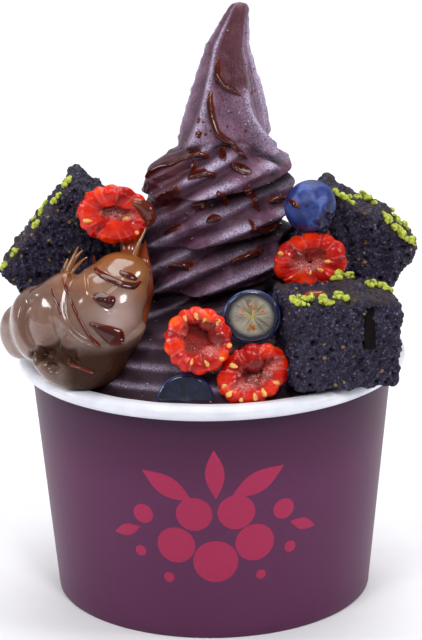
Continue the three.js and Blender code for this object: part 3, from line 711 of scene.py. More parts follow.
class ACAI_BOWL_OT_paper_bowl(bpy.types.Operator):
    """Make the paper bowl: its wall with rolled rim and foot, its bottom and its printed motif"""

    bl_idname = "acai_bowl.paper_bowl"
    bl_label = "Paper Bowl"

    def execute(self, context):
        sizes, colors = context.scene.acai_bowl_sizes, context.scene.acai_bowl_colors
        paper = coated_paper(colors)
        self.wall(sizes, [paper, printed_paper(colors)])
        self.bottom(sizes, paper)
        self.motif(sizes, motif_ink(colors))
        return {"FINISHED"}

    def wall(self, sizes, materials):
        """The side wall with its rim and foot, printed on the outside under the rim."""
        wall = lathe(bowl_profile(sizes), BOWL_SIDES)
        press_marks(wall, sizes)
        finish_piece(wall, "paper_wall", ["bowl_wall"], materials, sharp=40)
        under = sizes.bowl_height / MM - RIM_HEIGHT
        for face in wall.data.polygons:
            middle = face.center / MM
            outward = middle.x * face.normal.x + middle.y * face.normal.y
            face.material_index = int(outward > 0 and middle.z < under - 0.2)

    def bottom(self, sizes, paper):
        """The disc let into the wall above the foot."""
        radius = wall_radius(FOOT_HEIGHT, sizes) - PAPER - 2 * GAP
        low = FOOT_HEIGHT + GAP
        top = low + BOTTOM_THICKNESS
        profile = [(BOTTOM_EYE, low), (radius * 0.5, low + 0.25), (radius - 1, low + 0.1),
                   (radius, low + 0.2), (radius, top), (BOTTOM_EYE, top)]
        base = lathe(profile, BOTTOM_SIDES)
        finish_piece(base, "paper_bottom", ["bowl_bottom"], [paper], sharp=40)

    def motif(self, sizes, ink):
        """A sprig of round berries and leaves."""
        made = [motif_lens(sizes, (u, v), size, size) for u, v, size in MOTIF_BERRIES]
        for u, v, half, wide, angle in MOTIF_LEAVES:
            made.append(motif_lens(sizes, (u, v), half, wide, LEAF_TAPER, angle))
        finish_piece(join(made), "berry_motif", [], [ink], sharp=30)


# ---- Swirl ---------------------------------------------------------------------------------------


def flute_phase(angle, z):
    """Where a point lies across the flutes; a crest has a whole number."""
    rise = FLUTE_STARTS * FLUTE_SPACING * angle / 360 + FLUTE_SWAY * np.sin(np.radians(angle + 70))
    return (z - FLUTE_LEVEL - rise) / FLUTE_SPACING


def ring_parts(angle, z, sizes):
    """How deep the creases between the rings and the flutes are at a point."""
    height = (z - CREASE_LEVEL) / (sizes.ring_pitch / MM) - angle / 360
    across = height - np.floor(height)
    lip = smooth(0, 0.08, across)
    tuck = smooth(0.5, 1, across) ** 1.4
    fade = 1 - 0.7 * smooth(127, 135, z)
    joined = 1 - 0.65 * bell(angle + 48, 36)  # at the front left the rings run into each other
    crease = CREASE_DEPTH * fade * joined * (1 - lip + lip * tuck)
    phase = flute_phase(angle, z)
    sharp = np.sqrt(np.sin(np.pi * phase) ** 2 + CREST_ROUNDING) - math.sqrt(CREST_ROUNDING)
    flute = 0.7 * sharp / (math.sqrt(1 + CREST_ROUNDING) - math.sqrt(CREST_ROUNDING))
    flute = flute + 0.3 * np.sin(np.pi * phase) ** 2
    return crease, flute


def slope_radius(angle, z):
    (low, wide), (high, narrow) = SLOPE_FOOT, SLOPE_TOP
    body = wide + (narrow - wide) * (z - low) / (high - low)
    ridge = np.abs(np.sin(np.pi * ((z - low - 3) / SLOPE_RIDGE_STEP - (angle + 33) / 360)))
    return body - SLOPE_RIDGE_DEPTH * ridge * smooth(low - 1, low + 2, z)


def peak_parts(angle, z, sizes):
    """Radius of the peak without its flutes, and how far into a flute a point lies."""
    low, wide = PEAK_BASE
    down = np.clip(1 - (z - low) / 12, 0, 1.1)
    edges = np.stack([ridge + sweep * down**2 for ridge, sweep in PEAK_RIDGES])
    edges = np.concatenate([edges[-1:] - 360, edges])
    flute = np.zeros_like(angle)
    for left, right in zip(edges[:-1], edges[1:]):
        inside = (angle >= left) & (angle < right)
        flute = np.where(inside, np.sin(np.pi * (angle - left) / (right - left)), flute)
    top = sizes.peak_height / MM - 3
    body = wide + (PEAK_TIP_RADIUS - wide) * (z - low) / (top - low)
    return body, flute


def swirl_relief(turn, way, sizes):
    """Points of the swirl, and how frosted, how much painted shade and how glazed each is."""
    angle = np.degrees(turn)
    angle = (angle + 90 + 180) % 360 - 180  # a turn of -90 degrees is the front
    tip = sizes.peak_height / MM
    rows = np.array([0, 0.02, 0.035, 0.05, 0.14, 0.8, 0.985, 1.0])
    heights = np.array([7.0, 7.0, 40.0, 73.0, 86.0, 141.0, tip - 2.4, tip])
    z = np.interp(way, rows, heights)
    crease, flute = ring_parts(angle, z, sizes)
    depth = sizes.flute_depth / MM
    high = smooth(114, 124, z)
    calm = 1 - bell(angle + 88, 34) * (0.45 + 0.4 * high) - 0.75 * bell(angle - 86, 26) * high
    depth = depth * np.clip(calm, 0.1, 1)
    rings = steps(SHOULDER, z) - crease * np.clip(calm + 0.25, 0, 1) - depth * flute
    rings = rings + 6.0 * bell(angle + 96, 36) * bell(z - 105, 8.5)
    rings = rings + 3.6 * bell(angle + 94, 30) * bell(z - 115.5, 4.2)
    neck_mix = smooth(SLOPE_TOP[0], NECK[0], z)
    slope = slope_radius(angle, np.minimum(z, SLOPE_TOP[0]))
    neck = slope + (NECK[1] - slope) * neck_mix
    rings = neck + (rings - neck) * smooth(NECK[0] - 2, NECK[0] + 3, z)
    lower = np.where(z <= SLOPE_TOP[0], slope, rings)
    inside = np.minimum(wall_radius(z, sizes) - PAPER - GAP, SLOPE_FOOT[1])
    lower = np.where(z <= SLOPE_FOOT[0], inside, lower)

    body, peak_flute = peak_parts(angle, np.minimum(z, tip - 3), sizes)
    peak = body - np.minimum(PEAK_FLUTE_DEPTH, 0.3 * body) * peak_flute
    cap = np.sqrt(np.clip(1 - ((z - tip + 3) / 3) ** 2, 0, 1))
    peak = np.where(z > tip - 3, peak * cap, peak)
    foot = PEAK_BASE[0] - 7.0 * bell(angle - 78, 34) - 4.6 * bell(angle + 95, 45)
    notch = (0.8 + 2.2 * bell(angle - 72, 26)) * bell(z - foot, 1.4)
    on_peak = smooth(foot - 1, foot + 1.2, z)
    radius = lower + (peak - lower) * on_peak - notch * (z < tip - 3)
    radius = np.where(way < 0.02, radius * way / 0.02, radius)

    shown = smooth(73.5, 76, z)
    on_slope = 1 - smooth(86, 90, z)
    on_rings = (1 - on_peak) * (1 - on_slope)
    flat = np.stack([radius * np.sin(turn + np.pi / 2), -radius * np.cos(turn + np.pi / 2), z], axis=1)
    crest = (1 - flute) ** 2.8 * on_rings
    # Painted shade in the grooves between the flutes.
    valley_shade = 0.5 * smooth(0.5, 1, flute) * calm * on_rings
    crest = np.maximum(crest, 0.25 * (1 - peak_flute) ** 2 * on_peak)
    crest = np.maximum(crest, (1 - peak_flute) ** 7 * on_peak)
    slope_phase = (z - SLOPE_FOOT[0] - 3) / SLOPE_RIDGE_STEP - (angle + 33) / 360
    crest = np.maximum(crest, (1 - np.abs(np.sin(np.pi * slope_phase))) ** 2 * on_slope)

    # Fine lines left by the nozzle run along the flutes; frost and torn edges roughen the crests.
    along = np.stack([2.2 * flute_phase(angle, z), angle / 25, 0 * z], axis=1)
    upright = np.stack([angle / 5.5, z / 40, 0 * z], axis=1)
    level = np.stack([z / 1.1, angle / 30, 0 * z], axis=1)
    lines = clouds(along, 0.22, 3) * on_rings
    lines = lines + 0.4 * clouds(upright, 0.35, 4) * on_peak + clouds(level, 0.8, 5) * on_slope
    lines = lines + 1.6 * clouds(flat, 1.5, 10) * smooth(150, 158, z) * peak_flute
    torn = clouds(flat, 1.0, 6) + 0.6 * clouds(flat, 2.3, 7)
    relief = 0.16 * lines + crest * 0.30 * torn + 0.10 * clouds(flat, 0.7, 8) + 0.35 * clouds(flat, 9, 9)
    radius = np.maximum(radius + shown * relief * (z < tip - 1), 0)

    shift = steps(AXIS_SHIFT, z) * (way > 0.02)
    points = (shift + radius * np.sin(turn + np.pi / 2), -radius * np.cos(turn + np.pi / 2), z)
    # Painted shade: dark in the creases between the rings and in the notch at the peak's foot.
    deep = np.clip(crease / CREASE_DEPTH, 0, 1) * on_rings + notch / 3
    # More painted shade low down on the swirl and on the left of the rings, less on the crests.
    under = 0.84 * (1 - smooth(93, 99, z)) * (1 - 0.7 * crest)
    under = under + 0.48 * bell(angle + 82, 34) * on_rings * (1 - 0.5 * crest)
    icy = np.clip(0.55 + 0.75 * clouds(flat, 8, 21) + 0.25 * clouds(flat, 2.5, 22), 0.08, 1.3)
    # Frost on the peak's right side, laid on more there as a painted highlight.
    right_side_frost_and_highlight = 0.36 * smooth(30, 75, angle) * on_peak * (0.7 + clouds(upright, 0.8, 23))
    icy = np.where(on_peak > 0.5, np.maximum(icy, 0.75), icy)
    frost = np.clip(2.1 * crest, 0, 1) * icy + right_side_frost_and_highlight + 0.1 * icy * shown
    frost = frost + 0.06 * on_peak * (0.8 + 0.7 * clouds(upright, 0.6, 24))
    glaze = smooth(-38, -22, angle) * (1 - smooth(44, 66, angle)) * smooth(151, 156, z)
    left_coat = smooth(-100, -84, angle) * (1 - smooth(-42, -26, angle)) * smooth(114, 122, z)
    glaze = np.maximum(glaze, 0.85 * left_coat * (1 - smooth(134, 140, z)))
    glaze = np.maximum(glaze, 0.6 * smooth(170, 174, z))
    frost = frost * (1 - 0.9 * glaze)
    # Painted shade in the peak's flutes on its left side.
    left_flute_shade = smooth(-45, -25, -np.abs(angle + 60))
    deep = np.maximum(deep + under, valley_shade) + 0.35 * peak_flute**3 * on_peak * left_flute_shade
    return points, np.clip(frost, 0, 1), np.clip(deep, 0, 0.95), glaze


def frozen_acai(colors):
    # Frozen acai pulp, soft-served and hardened: dull plum flesh with a satin skin and granular lilac
    # frost on its torn crests. Painted shade turns it near black purple in its creases and grooves, low
    # down and on its left, and darkens the pores of its grain; painted glints speck it pale.
    made, tree, shader = material("frozen acai", Subsurface_Weight=0.15, Subsurface_Scale=1.0,
                                  Subsurface_Radius=(0.0012, 0.0005, 0.0007))
    grain = noise(tree, 0.5, 2.0, Roughness=0.75)
    patches = noise(tree, 5, 3.0)
    glaze = attribute(tree, "glaze")
    pulp = ramp(tree, patches, (0.32, "#4a2838"), (0.5, colors.acai_color), (0.7, "#7d5a70"))
    icy = calculate(tree, "MULTIPLY", attribute(tree, "crest"), remap(tree, grain, 0.36, 0.62, 0.2, 1))
    frosted = blend(tree, remap(tree, icy, 0, 0.8, 0, 0.95), pulp, colors.frost_color)
    # Painted shade in the pores of the grain.
    pore_shaded = blend(tree, remap(tree, grain, 0.5, 0.34, 0, 0.3), frosted, "#38202c")
    # Painted shade, near black purple, in creases, grooves, low down and on the left.
    fold_shaded = blend(tree, attribute(tree, "deep"), pore_shaded, "#180a13")
    wrinkled = calculate(tree, "MULTIPLY", glaze, patches)
    syrupy = blend(tree, remap(tree, wrinkled, 0.22, 0.55, 0, 0.85), fold_shaded, "#4a1016")
    # Painted glints: small pale specks over the whole swirl.
    painted_glints = remap(tree, cells(tree, 3.0)["Distance"], 0.09, 0.05, 0, 0.6)
    glinted = blend(tree, painted_glints, syrupy, "#ddd6ea")
    rough = calculate(tree, "MULTIPLY_ADD", glaze, -0.26, remap(tree, icy, 0, 1, 0.5, 0.8))
    shine = remap(tree, glaze, 0, 1, 0.2, 0.4)
    join_shader(tree, shader, Base_Color=glinted, Roughness=rough, Specular_IOR_Level=shine,
                Normal=bump(tree, grain, 0.65, 0.32))
    return made


class ACAI_BOWL_OT_swirl(bpy.types.Operator):
    """Make the frozen swirl: the filling, the ridged slope, the wound rings and the peak"""

    bl_idname = "acai_bowl.swirl"
    bl_label = "Acai Swirl"

    def execute(self, context):
        sizes, colors = context.scene.acai_bowl_sizes, context.scene.acai_bowl_colors
        kept = {}

        def shape(turn, way):
            points, kept["crest"], kept["deep"], kept["glaze"] = swirl_relief(turn, way, sizes)
            return points

        swirl = ball(SWIRL_COLUMNS, SWIRL_ROWS, shape)
        for name, values in kept.items():
            paint(swirl, name, values)
        finish_piece(swirl, "frozen_swirl", ["acai_swirl"], [frozen_acai(colors)])
        return {"FINISHED"}


# ---- Chocolate hazelnut cream --------------------------------------------------------------------


def cream_reach(direction, extra=0.0):
    """How far the folds of cream reach from its middle in each direction."""
    blended = 0
    for at, half in CREAM_FOLDS:
        half = np.array(half)
        offset = (np.array(CREAM_MIDDLE) - np.array(at)) / half
        along = direction / half
        a = (along**2).sum(axis=1)
        b = 2 * (along * offset).sum(axis=1)
        c = (offset**2).sum() - 1
        root = b * b - 4 * a * c
        far = np.where(root < 0, 0, (np.sqrt(np.maximum(root, 0)) - b) / (2 * a))
        blended = blended + np.exp(far / CREAM_BLEND)
    return CREAM_BLEND * np.log(blended) + extra


# Laps of cream seen from the front: middle of the arc (x, z), its radius, the angles it spans,
# how proud the lap stands and how far it fades inwards, in millimetres and degrees.
CREAM_LAPS = (
    ((-28.3, 100.8), 12.6, (136, 345), 1.5, 3.2),
    ((-27.6, 98.8), 17.4, (176, 268), 0.4, 4.5),
    ((-40.0, 92.5), 13.2, (140, 228), 1.5, 6.0),
    ((-29.5, 108.6), 5.4, (170, 330), 0.7, 2.2),
)
CREAM_TEAR = ((-45.6, 85.6), (9.0, 5.2))  # middle and half sizes of the torn place, seen from the front


def cream_tear(points):
    """How far each point lies in the torn place, 0 to 1."""
    x, _, z = points.T
    (middle_x, middle_z), (half_x, half_z) = CREAM_TEAR
    across, up = x - middle_x, z - middle_z
    out = np.hypot((across + 0.5 * up) / half_x, (up - 0.35 * across) / half_z)
    return 1 - smooth(0.55, 1.0, out + 0.35 * clouds(points, 4.2, 15))


def cream_relief(points):
    """How far each point of the cream is lifted by the laps and furrows on its front."""
    x, y, z = points.T
    front = smooth(-24, -32, y + 0.25 * (x + 38))
    lift = np.zeros(len(x))
    for (middle_x, middle_z), radius, (start, end), proud, fade in CREAM_LAPS:
        angle = np.degrees(np.arctan2(z - middle_z, x - middle_x)) % 360
        wobble = 0.9 * np.sin(np.radians(2.3 * angle) + radius)
        inwards = np.hypot(x - middle_x, z - middle_z) - radius - wobble
        span = smooth(start - 14, start + 14, angle) * (1 - smooth(end - 16, end + 16, angle))
        lift += span * proud * (smooth(-0.5, 0.5, inwards) * bell(np.maximum(inwards, 0), fade) - 0.3)
    basin = -1.6 * bell(np.hypot(x + 28, z - 98) - 4, 6.5)
    torn = cream_tear(points)
    ragged = -3.4 * torn * (0.6 + clouds(points, 3.8, 16))
    return front * (lift + basin + ragged) + 0.3 * clouds(points, 7, 12)


def hazelnut_cream(colors):
    # Chocolate hazelnut spread, spooned cold: smooth, oily and glossy, with a grey brown painted sheen
    # on its dome, caramel where syrup has run into it, and painted shade, dark brown, where it is torn
    # and where it lies in its own fold.
    made, tree, shader = material("chocolate hazelnut cream", Subsurface_Weight=0.3,
                                  Subsurface_Scale=1.0, Subsurface_Radius=(0.0028, 0.0014, 0.0007),
                                  Coat_Roughness=0.04, IOR=1.46)
    # Painted shade: low marks the bottom fold and the torn place, which turn dark brown.
    low = attribute(tree, "low")
    streaks = noise(tree, 12, 2.0, Distortion=1.2)
    tone = ramp(tree, streaks, (0.3, "#664a40"), (0.5, colors.cream_color), (0.7, "#8c7670"))
    warm = blend(tree, attribute(tree, "caramel"), tone, "#8a5426")
    milky = blend(tree, attribute(tree, "milky"), warm, "#a8918a")
    gloss = remap(tree, low, 0, 1, 0.55, 0.12)
    join_shader(tree, shader, Base_Color=blend(tree, low, milky, "#341a0c"),
                Roughness=remap(tree, low, 0, 1, 0.17, 0.6), Coat_Weight=gloss, Specular_IOR_Level=gloss,
                Normal=bump(tree, noise(tree, 0.8, 3.0), low, 0.35))
    return made


class ACAI_BOWL_OT_cream(bpy.types.Operator):
    """Make the dollop of chocolate hazelnut cream with its laps and pulled threads"""

    bl_idname = "acai_bowl.cream"
    bl_label = "Chocolate Cream"

    def execute(self, context):
        colors = context.scene.acai_bowl_colors
        middle = np.array(CREAM_MIDDLE)

        def shape(turn, way):
            polar = np.pi * (1 - way)
            level = np.sin(polar)
            direction = np.stack([level * np.cos(turn), level * np.sin(turn), np.cos(polar)], axis=1)
            return (middle + direction * cream_reach(direction)[:, None]).T

        cream = ball(320, 200, shape)
        points = points_of(cream)
        lift = cream_relief(points)
        move_points(cream, points + directions_out(cream) * lift[:, None])
        threads = [strand(stops) for stops in CREAM_THREADS]
        cream = join([cream, *threads])
        points = points_of(cream)
        x, _, z = points.T
        # Painted shade at the bottom left of the cream and in its torn place.
        bottom_shade = 0.35 * smooth(96, 88, z) * smooth(-54, -44, x) + 0.9 * smooth(93, 82, z) * smooth(-48, -34, x)
        torn = cream_tear(points) * smooth(-0.5, 0.3, clouds(points, 3.8, 16))
        paint(cream, "low", np.clip(bottom_shade + 0.9 * torn, 0, 1))
        top = smooth(97, 106, z + 0.25 * x + 8) + 0.7 * smooth(-23, -18, x)
        # Painted sheen: a pale grey patch on the cream's dome.
        paint(cream, "milky", 0.9 * bell(np.hypot(x + 26.5, 1.1 * (z - 96.5)), 7))
        paint(cream, "caramel", np.clip(top * (0.7 + 0.5 * clouds(points, 6, 14)), 0, 1))
        finish_piece(cream, "cream_dollop", ["chocolate_cream"], [hazelnut_cream(colors)])
        return {"FINISHED"}


# ---- Brownies ------------------------------------------------------------------------------------


def crust_height(x, y, brownie):
    """Height of the crust over the middle of the piece, with its lump."""
    _, depth, height = brownie["size"]
    lump = brownie["lump"]
    rise = 0 if lump is None else lump[1] * bell(x - lump[0], 4.5) * bell(y, depth / 2)
    return height / 2 + rise


def brownie_crumb(colors):
    # Baked cocoa crumb, cut with a knife: near black with a blue cast and tan flecks of nut, painted
    # shade in its pits and cracks, and painted glints, pale blue-white specks, for the moist fat on it.
    made, tree, shader = material("baked cocoa crumb", Specular_IOR_Level=0.3)
    fine = noise(tree, 0.7, 4.0, Roughness=0.72)
    # Painted glints: the palest stops of this ramp put blue-white specks on the crumb.
    tone = ramp(tree, fine, (0.38, "#050409"), (0.5, colors.brownie_color), (0.6, "#3c3350"),
                (0.66, "#75708f"), (0.72, "#bdb8d0"))
    # Painted shade in the pits and in the cracks between crumbs.
    pit_shaded = blend(tree, attribute(tree, "pit"), tone, "#030205")
    flecks = cells(tree, 2.7)
    chance = node(tree, "SeparateColor", {"Color": flecks["Color"]}).outputs["Red"]
    rare = calculate(tree, "GREATER_THAN", chance, 0.62)
    small = calculate(tree, "LESS_THAN", flecks["Distance"], 0.2)
    speckled = blend(tree, calculate(tree, "MULTIPLY", rare, small), pit_shaded, "#8f6c3c")
    topped = blend(tree, attribute(tree, "crust"), speckled, "#382824")
    rough = remap(tree, noise(tree, 6, 3.0), 0, 1, 0.15, 0.8)
    join_shader(tree, shader, Base_Color=topped, Roughness=rough, Normal=bump(tree, fine, 1.0, 0.5))
    return made


def chopped_pistachio(colors):
    # Raw pistachio kernel, chopped: waxy yellow green, with brown skin left on some of it.
    made, tree, shader = material("chopped pistachio", Roughness=0.5, Subsurface_Weight=0.3,
                                  Subsurface_Scale=1.0, Subsurface_Radius=(0.0008, 0.001, 0.0003))
    green = ramp(tree, noise(tree, 1.1, 3.0), (0.3, "#4c4a14"), (0.45, colors.pistachio_color),
                 (0.6, "#c2cc52"), (0.75, "#8d6f34"))
    join_shader(tree, shader, Base_Color=green, Normal=bump(tree, noise(tree, 0.4, 3.0), 0.5, 0.2))
    return made


def dark_chocolate():
    # Tempered dark chocolate: almost black brown, snapped clean, with a wet shine.
    made, tree, shader = material("dark chocolate", Roughness=0.16, Specular_IOR_Level=0.06)
    tone = ramp(tree, noise(tree, 3, 2.0), (0.3, "#050203"), (0.7, "#120908"))
    join_shader(tree, shader, Base_Color=tone)
    return made


def brownie_piece(name, brownie, surface):
    """A rounded block remeshed finely and broken into crumbs, pits and a wrinkled crust."""
    size = brownie["size"]
    clear_selection()
    bpy.ops.mesh.primitive_cube_add(size=1)
    block = bpy.context.object
    block.scale = [side * MM for side in size]
    bpy.ops.object.transform_apply(location=True, rotation=True, scale=True)
    modify(block, "BEVEL", width=BROWNIE_ROUNDING * 0.7 * MM, segments=3)
    modify(block, "REMESH", mode="VOXEL", voxel_size=CRUMB_VOXEL * MM)
    points = points_of(block)
    out = directions_out(block)
    seed = brownie["seed"]
    warped = points + 0.5 * np.stack([clouds(points, 1.3, seed + axis) for axis in range(3)], axis=1)
    middle, border, lot = grains(warped, CRUMB_SIZE, seed)
    near_big, big_border, big_lot = grains(warped, 3.9, seed + 9)
    near_pit, _, pit_lot = grains(warped, 1.9, seed + 5)
    pits = bell(near_pit, 0.14 + 0.16 * pit_lot) * (pit_lot > 0.4)
    on_crust = smooth(0.5, 0.9, out[:, 2])
    crumb = 0.45 * (0.55 - middle) + 0.4 * (lot - 0.5) * smooth(0, 0.2, border)
    crumb = crumb + 0.6 * (big_lot - 0.5) * smooth(0, 0.12, big_border)
    lift = 0.75 * unevenness(points, seed) + crumb * (1 - 0.3 * on_crust) - 1.5 * pits
    lift = lift + 0.22 * clouds(points, 0.7, seed) + 0.4 * clouds(points, 2.4, seed + 3) * on_crust
    points = points + out * lift[:, None]
    points[:, 2] += on_crust * (crust_height(points[:, 0], points[:, 1], brownie) - size[2] / 2)
    move_points(block, points)
    # Painted shade for the pits and the cracks between crumbs.
    crack_shade = 0.4 * smooth(0.1, 0, border) + 0.5 * smooth(0.05, 0, big_border)
    paint(block, "pit", np.clip(0.95 * pits + crack_shade, 0, 1))
    paint(block, "crust", on_crust * smooth(-0.3, 0.5, clouds(points, 3, seed + 2)) * 0.7)
    place(block, placing(**brownie))
    return finish_piece(block, name, [], [surface])


def pistachio_heaps(surface):
    """Chopped kernels heaped on the crusts: three rough templates, copied, turned and stretched."""
    rng = random.Random(5)
    shapes = []
    for number in range(3):
        clear_selection()
        bpy.ops.mesh.primitive_ico_sphere_add(subdivisions=3, radius=1)
        kernel = bpy.context.object
        points = points_of(kernel) * MM
        rough = 1 + 0.22 * clouds(points, 0.9, 30 + number) + 0.1 * clouds(points, 0.4, 40 + number)
        move_points(kernel, np.clip(points * rough[:, None], -0.8, 0.72 + 0.1 * number))
        shapes.append(kernel)
    places = [[], [], []]
    for name, heaps in PISTACHIO_HEAPS.items():
        brownie = BROWNIES[name]
        wide, depth, _ = brownie["size"]
        for along, back, count, spread in heaps:
            for _ in range(2 * count):
                x = min(max(along * wide + rng.gauss(0, spread / 2), -wide / 2 + 0.6), wide / 2 - 0.6)
                y = min(max(back * depth + rng.gauss(0, spread / 2), -depth / 2 + 0.3), depth / 2 - 0.6)
                radius = rng.uniform(0.5, 0.95) * (1.45 if rng.random() < 0.2 else 1.0)
                z = float(crust_height(x, y, brownie)) + 0.55 * radius + rng.uniform(0, 0.5)
                longer = radius * rng.uniform(1, 1.4)
                flatter = radius * rng.uniform(0.7, 0.95)
                stretch = Matrix.Diagonal((longer, radius, flatter, 1))
                spin = Matrix.Rotation(rng.uniform(0, 6.3), 4, (rng.random(), rng.random(), 1))
                on_crust = placing(**brownie) @ Matrix.Translation((x, y, z))
                places[rng.randrange(3)].append(on_crust @ spin @ stretch)
    heaps = join([copies(kernel, matrices) for kernel, matrices in zip(shapes, places)])
    finish_piece(heaps, "pistachio_crumbs", [], [surface])


class ACAI_BOWL_OT_brownies(bpy.types.Operator):
    """Make the brownie pieces with their crumb and crust, the chocolate stick and the pistachio"""

    bl_idname = "acai_bowl.brownies"
    bl_label = "Brownies"

    def execute(self, context):
        colors = context.scene.acai_bowl_colors
        crumb = brownie_crumb(colors)
        for name, brownie in BROWNIES.items():
            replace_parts(brownie_piece(name.replace("brownie", "baked"), brownie, crumb), name)
        pistachio_heaps(chopped_pistachio(colors))
        self.chocolate_stick()
        return {"FINISHED"}

    def chocolate_stick(self):
        """A tapered stick of chocolate let into the front of the front brownie."""
        clear_selection()
        bpy.ops.mesh.primitive_cube_add(size=1)
        stick = bpy.context.object
        points = points_of(stick) * MM
        wide = np.where(points[:, 2] > 0, CHUNK["top"], CHUNK["bottom"])
        sides = np.stack([wide, 0 * wide + CHUNK["depth"], 0 * wide + CHUNK["height"]], axis=1)
        move_points(stick, points * sides)
        modify(stick, "BEVEL", width=0.5 * MM, segments=3)
        modify(stick, "SUBSURF", levels=2, render_levels=2, subdivision_type="SIMPLE")
        points = points_of(stick)
        move_points(stick, points + directions_out(stick) * (0.12 * clouds(points, 2.4, 3))[:, None])
        holder = BROWNIES["brownie_front_right"]
        back = -holder["size"][1] / 2 + CHUNK["depth"] / 2 - CHUNK_PROUD
        offset = Matrix.Translation((CHUNK["across"], back, CHUNK["up"]))
        turned = Matrix.Rotation(math.radians(holder["turn"]), 4, "Z")
        place(stick, Matrix.Translation(holder["at"]) @ turned @ offset)
        surface = dark_chocolate()
        finish_piece(stick, "chocolate_stick", ["chocolate_chunk"], [surface], sharp=50)


# ---- Raspberries ---------------------------------------------------------------------------------


def raspberry_flesh(colors):
    # Fresh raspberry, cut: juicy translucent cells from orange to deep red, pink membranes between
    # them, a granular pink lining in the hollow, wet all over. Painted shade darkens the hollow, most on
    # its upper wall, and the lining's pale felt dots keep to its lower, lit part.
    made, tree, shader = material("cut raspberry", Roughness=0.14, Subsurface_Weight=0.3,
                                  Subsurface_Scale=1.0, Subsurface_Radius=(0.003, 0.0004, 0.0002),
                                  Specular_IOR_Level=0.05, Coat_Weight=0.5, Coat_Roughness=0.02)
    juice = ramp(tree, attribute(tree, "tone"), (0.12, "#5e0202"), (0.42, colors.raspberry_color),
                 (0.7, "#de2c06"), (0.95, "#ee6620"))
    lined = blend(tree, attribute(tree, "pale"), juice, "#cf5a54")
    granules = noise(tree, 0.42, 2.0, Roughness=0.7)
    dots = calculate(tree, "MULTIPLY", attribute(tree, "felt"), remap(tree, granules, 0.47, 0.62))
    felted = blend(tree, dots, lined, "#eab6ac")
    # Painted shade in the hollow, dark red.
    dark = blend(tree, attribute(tree, "deep"), felted, "#6a0604")
    join_shader(tree, shader, Base_Color=dark, Normal=bump(tree, granules, 0.45, 0.25))
    return made


def raspberry_seed():
    # Raspberry seed seen through juice: honey coloured, hard and smooth.
    made, tree, shader = material("raspberry seed", Roughness=0.25, Subsurface_Weight=0.3,
                                  Subsurface_Scale=1.0, Subsurface_Radius=(0.001, 0.0005, 0.0002))
    tone = ramp(tree, noise(tree, 1.2, 2.0), (0.3, "#cf7a1e"), (0.7, "#f0c070"))
    join_shader(tree, shader, Base_Color=tone)
    return made


def hollow_depth(a, b, berry):
    """How far a place on the cut face lies in the hollow, 0 to 1; b is up the face."""
    middle_a, middle_b, half_a, half_b, _ = berry["hollow"]
    ragged = 0.2 * clouds(np.stack([a, b, 0 * a], axis=1), 2.4, berry["seed"])
    return 1 - smooth(0.66, 1.04, np.hypot((a - middle_a) / half_a, (b - middle_b) / half_b) + ragged)


def cells_round(berry):
    """Where the cells of the cut edge begin and end, in turns, and a random number for each."""
    rng = random.Random(berry["seed"])
    count = berry["cells"]
    starts = [(number + rng.uniform(-0.38, 0.38)) / count for number in range(count)]
    return np.array(starts), np.array([*starts[1:], starts[0] + 1]), np.array([rng.random() for _ in starts])


def cell_at(turn, berry):
    """How near a direction is to the border of its cell, in turns, how far across the cell it lies,
    0 to 1, and the cell's random number."""
    starts, ends, lots = cells_round(berry)
    part = (turn / (2 * math.pi) - starts[0]) % 1 + starts[0]
    cell = np.clip(np.searchsorted(starts, part, side="right") - 1, 0, len(starts) - 1)
    across = (part - starts[cell]) / (ends[cell] - starts[cell])
    return np.minimum(part - starts[cell], ends[cell] - part), across, lots[cell]


def raspberry_core(berry):
    """The berry without its drupelets: a round back and a cut face with its hollow."""
    width, height, thick = berry["size"]

    def shape(turn, way):
        back = way < 0.5
        out = np.where(back, np.sin(np.pi * way), 2 * (1 - way))
        a = out * np.cos(turn) * (width / 2 - 0.8)
        b = out * np.sin(turn) * (height / 2 - 0.8)
        _, across, lot = cell_at(turn, berry)
        bulge = (0.15 + 0.25 * lot) * np.sqrt(np.sin(np.pi * across)) * bell(out - 0.8, 0.17)
        face = bulge - 1.0 * smooth(0.84, 1, out) - berry["hollow"][4] * hollow_depth(a, b, berry)
        return a, b, np.where(back, -0.86 * (thick - 1) * np.cos(np.pi * way) - 1.0, face)

    return ball(200, 120, shape)


def drupelet_places(berry):
    """Matrices of the drupelets: one at the edge of each cell and rows of them over the back."""
    width, height, thick = berry["size"]
    rng = random.Random(berry["seed"])
    matrices = []
    for start, end, lot in zip(*cells_round(berry)):
        around = math.pi * (start + end)
        radius = math.pi * (end - start) * (width + height) / 4 * rng.uniform(1.05, 1.6)
        at = ((width / 2 - radius) * math.cos(around),
              (height / 2 - radius) * math.sin(around),
              -2.0 - 0.4 * lot)
        matrices.append(Matrix.Translation(at) @ Matrix.Diagonal((radius, radius, 0.66 * radius, 1)))
    for slope in (30, 57, 82):
        count = max(3, round(berry["cells"] * math.cos(math.radians(slope))))
        first = rng.random()
        for number in range(count):
            around = 2 * math.pi * (number + first + rng.uniform(-0.15, 0.15)) / count
            level = math.radians(slope + rng.uniform(-4, 4))
            radius = DRUPELET_RADIUS * rng.uniform(0.85, 1.1)
            at = ((width / 2 - radius) * math.cos(level) * math.cos(around),
                  (height / 2 - radius) * math.cos(level) * math.sin(around),
                  -(thick - radius) * math.sin(level) - 0.7)
            matrices.append(Matrix.Translation(at) @ Matrix.Scale(radius, 4))
    return matrices


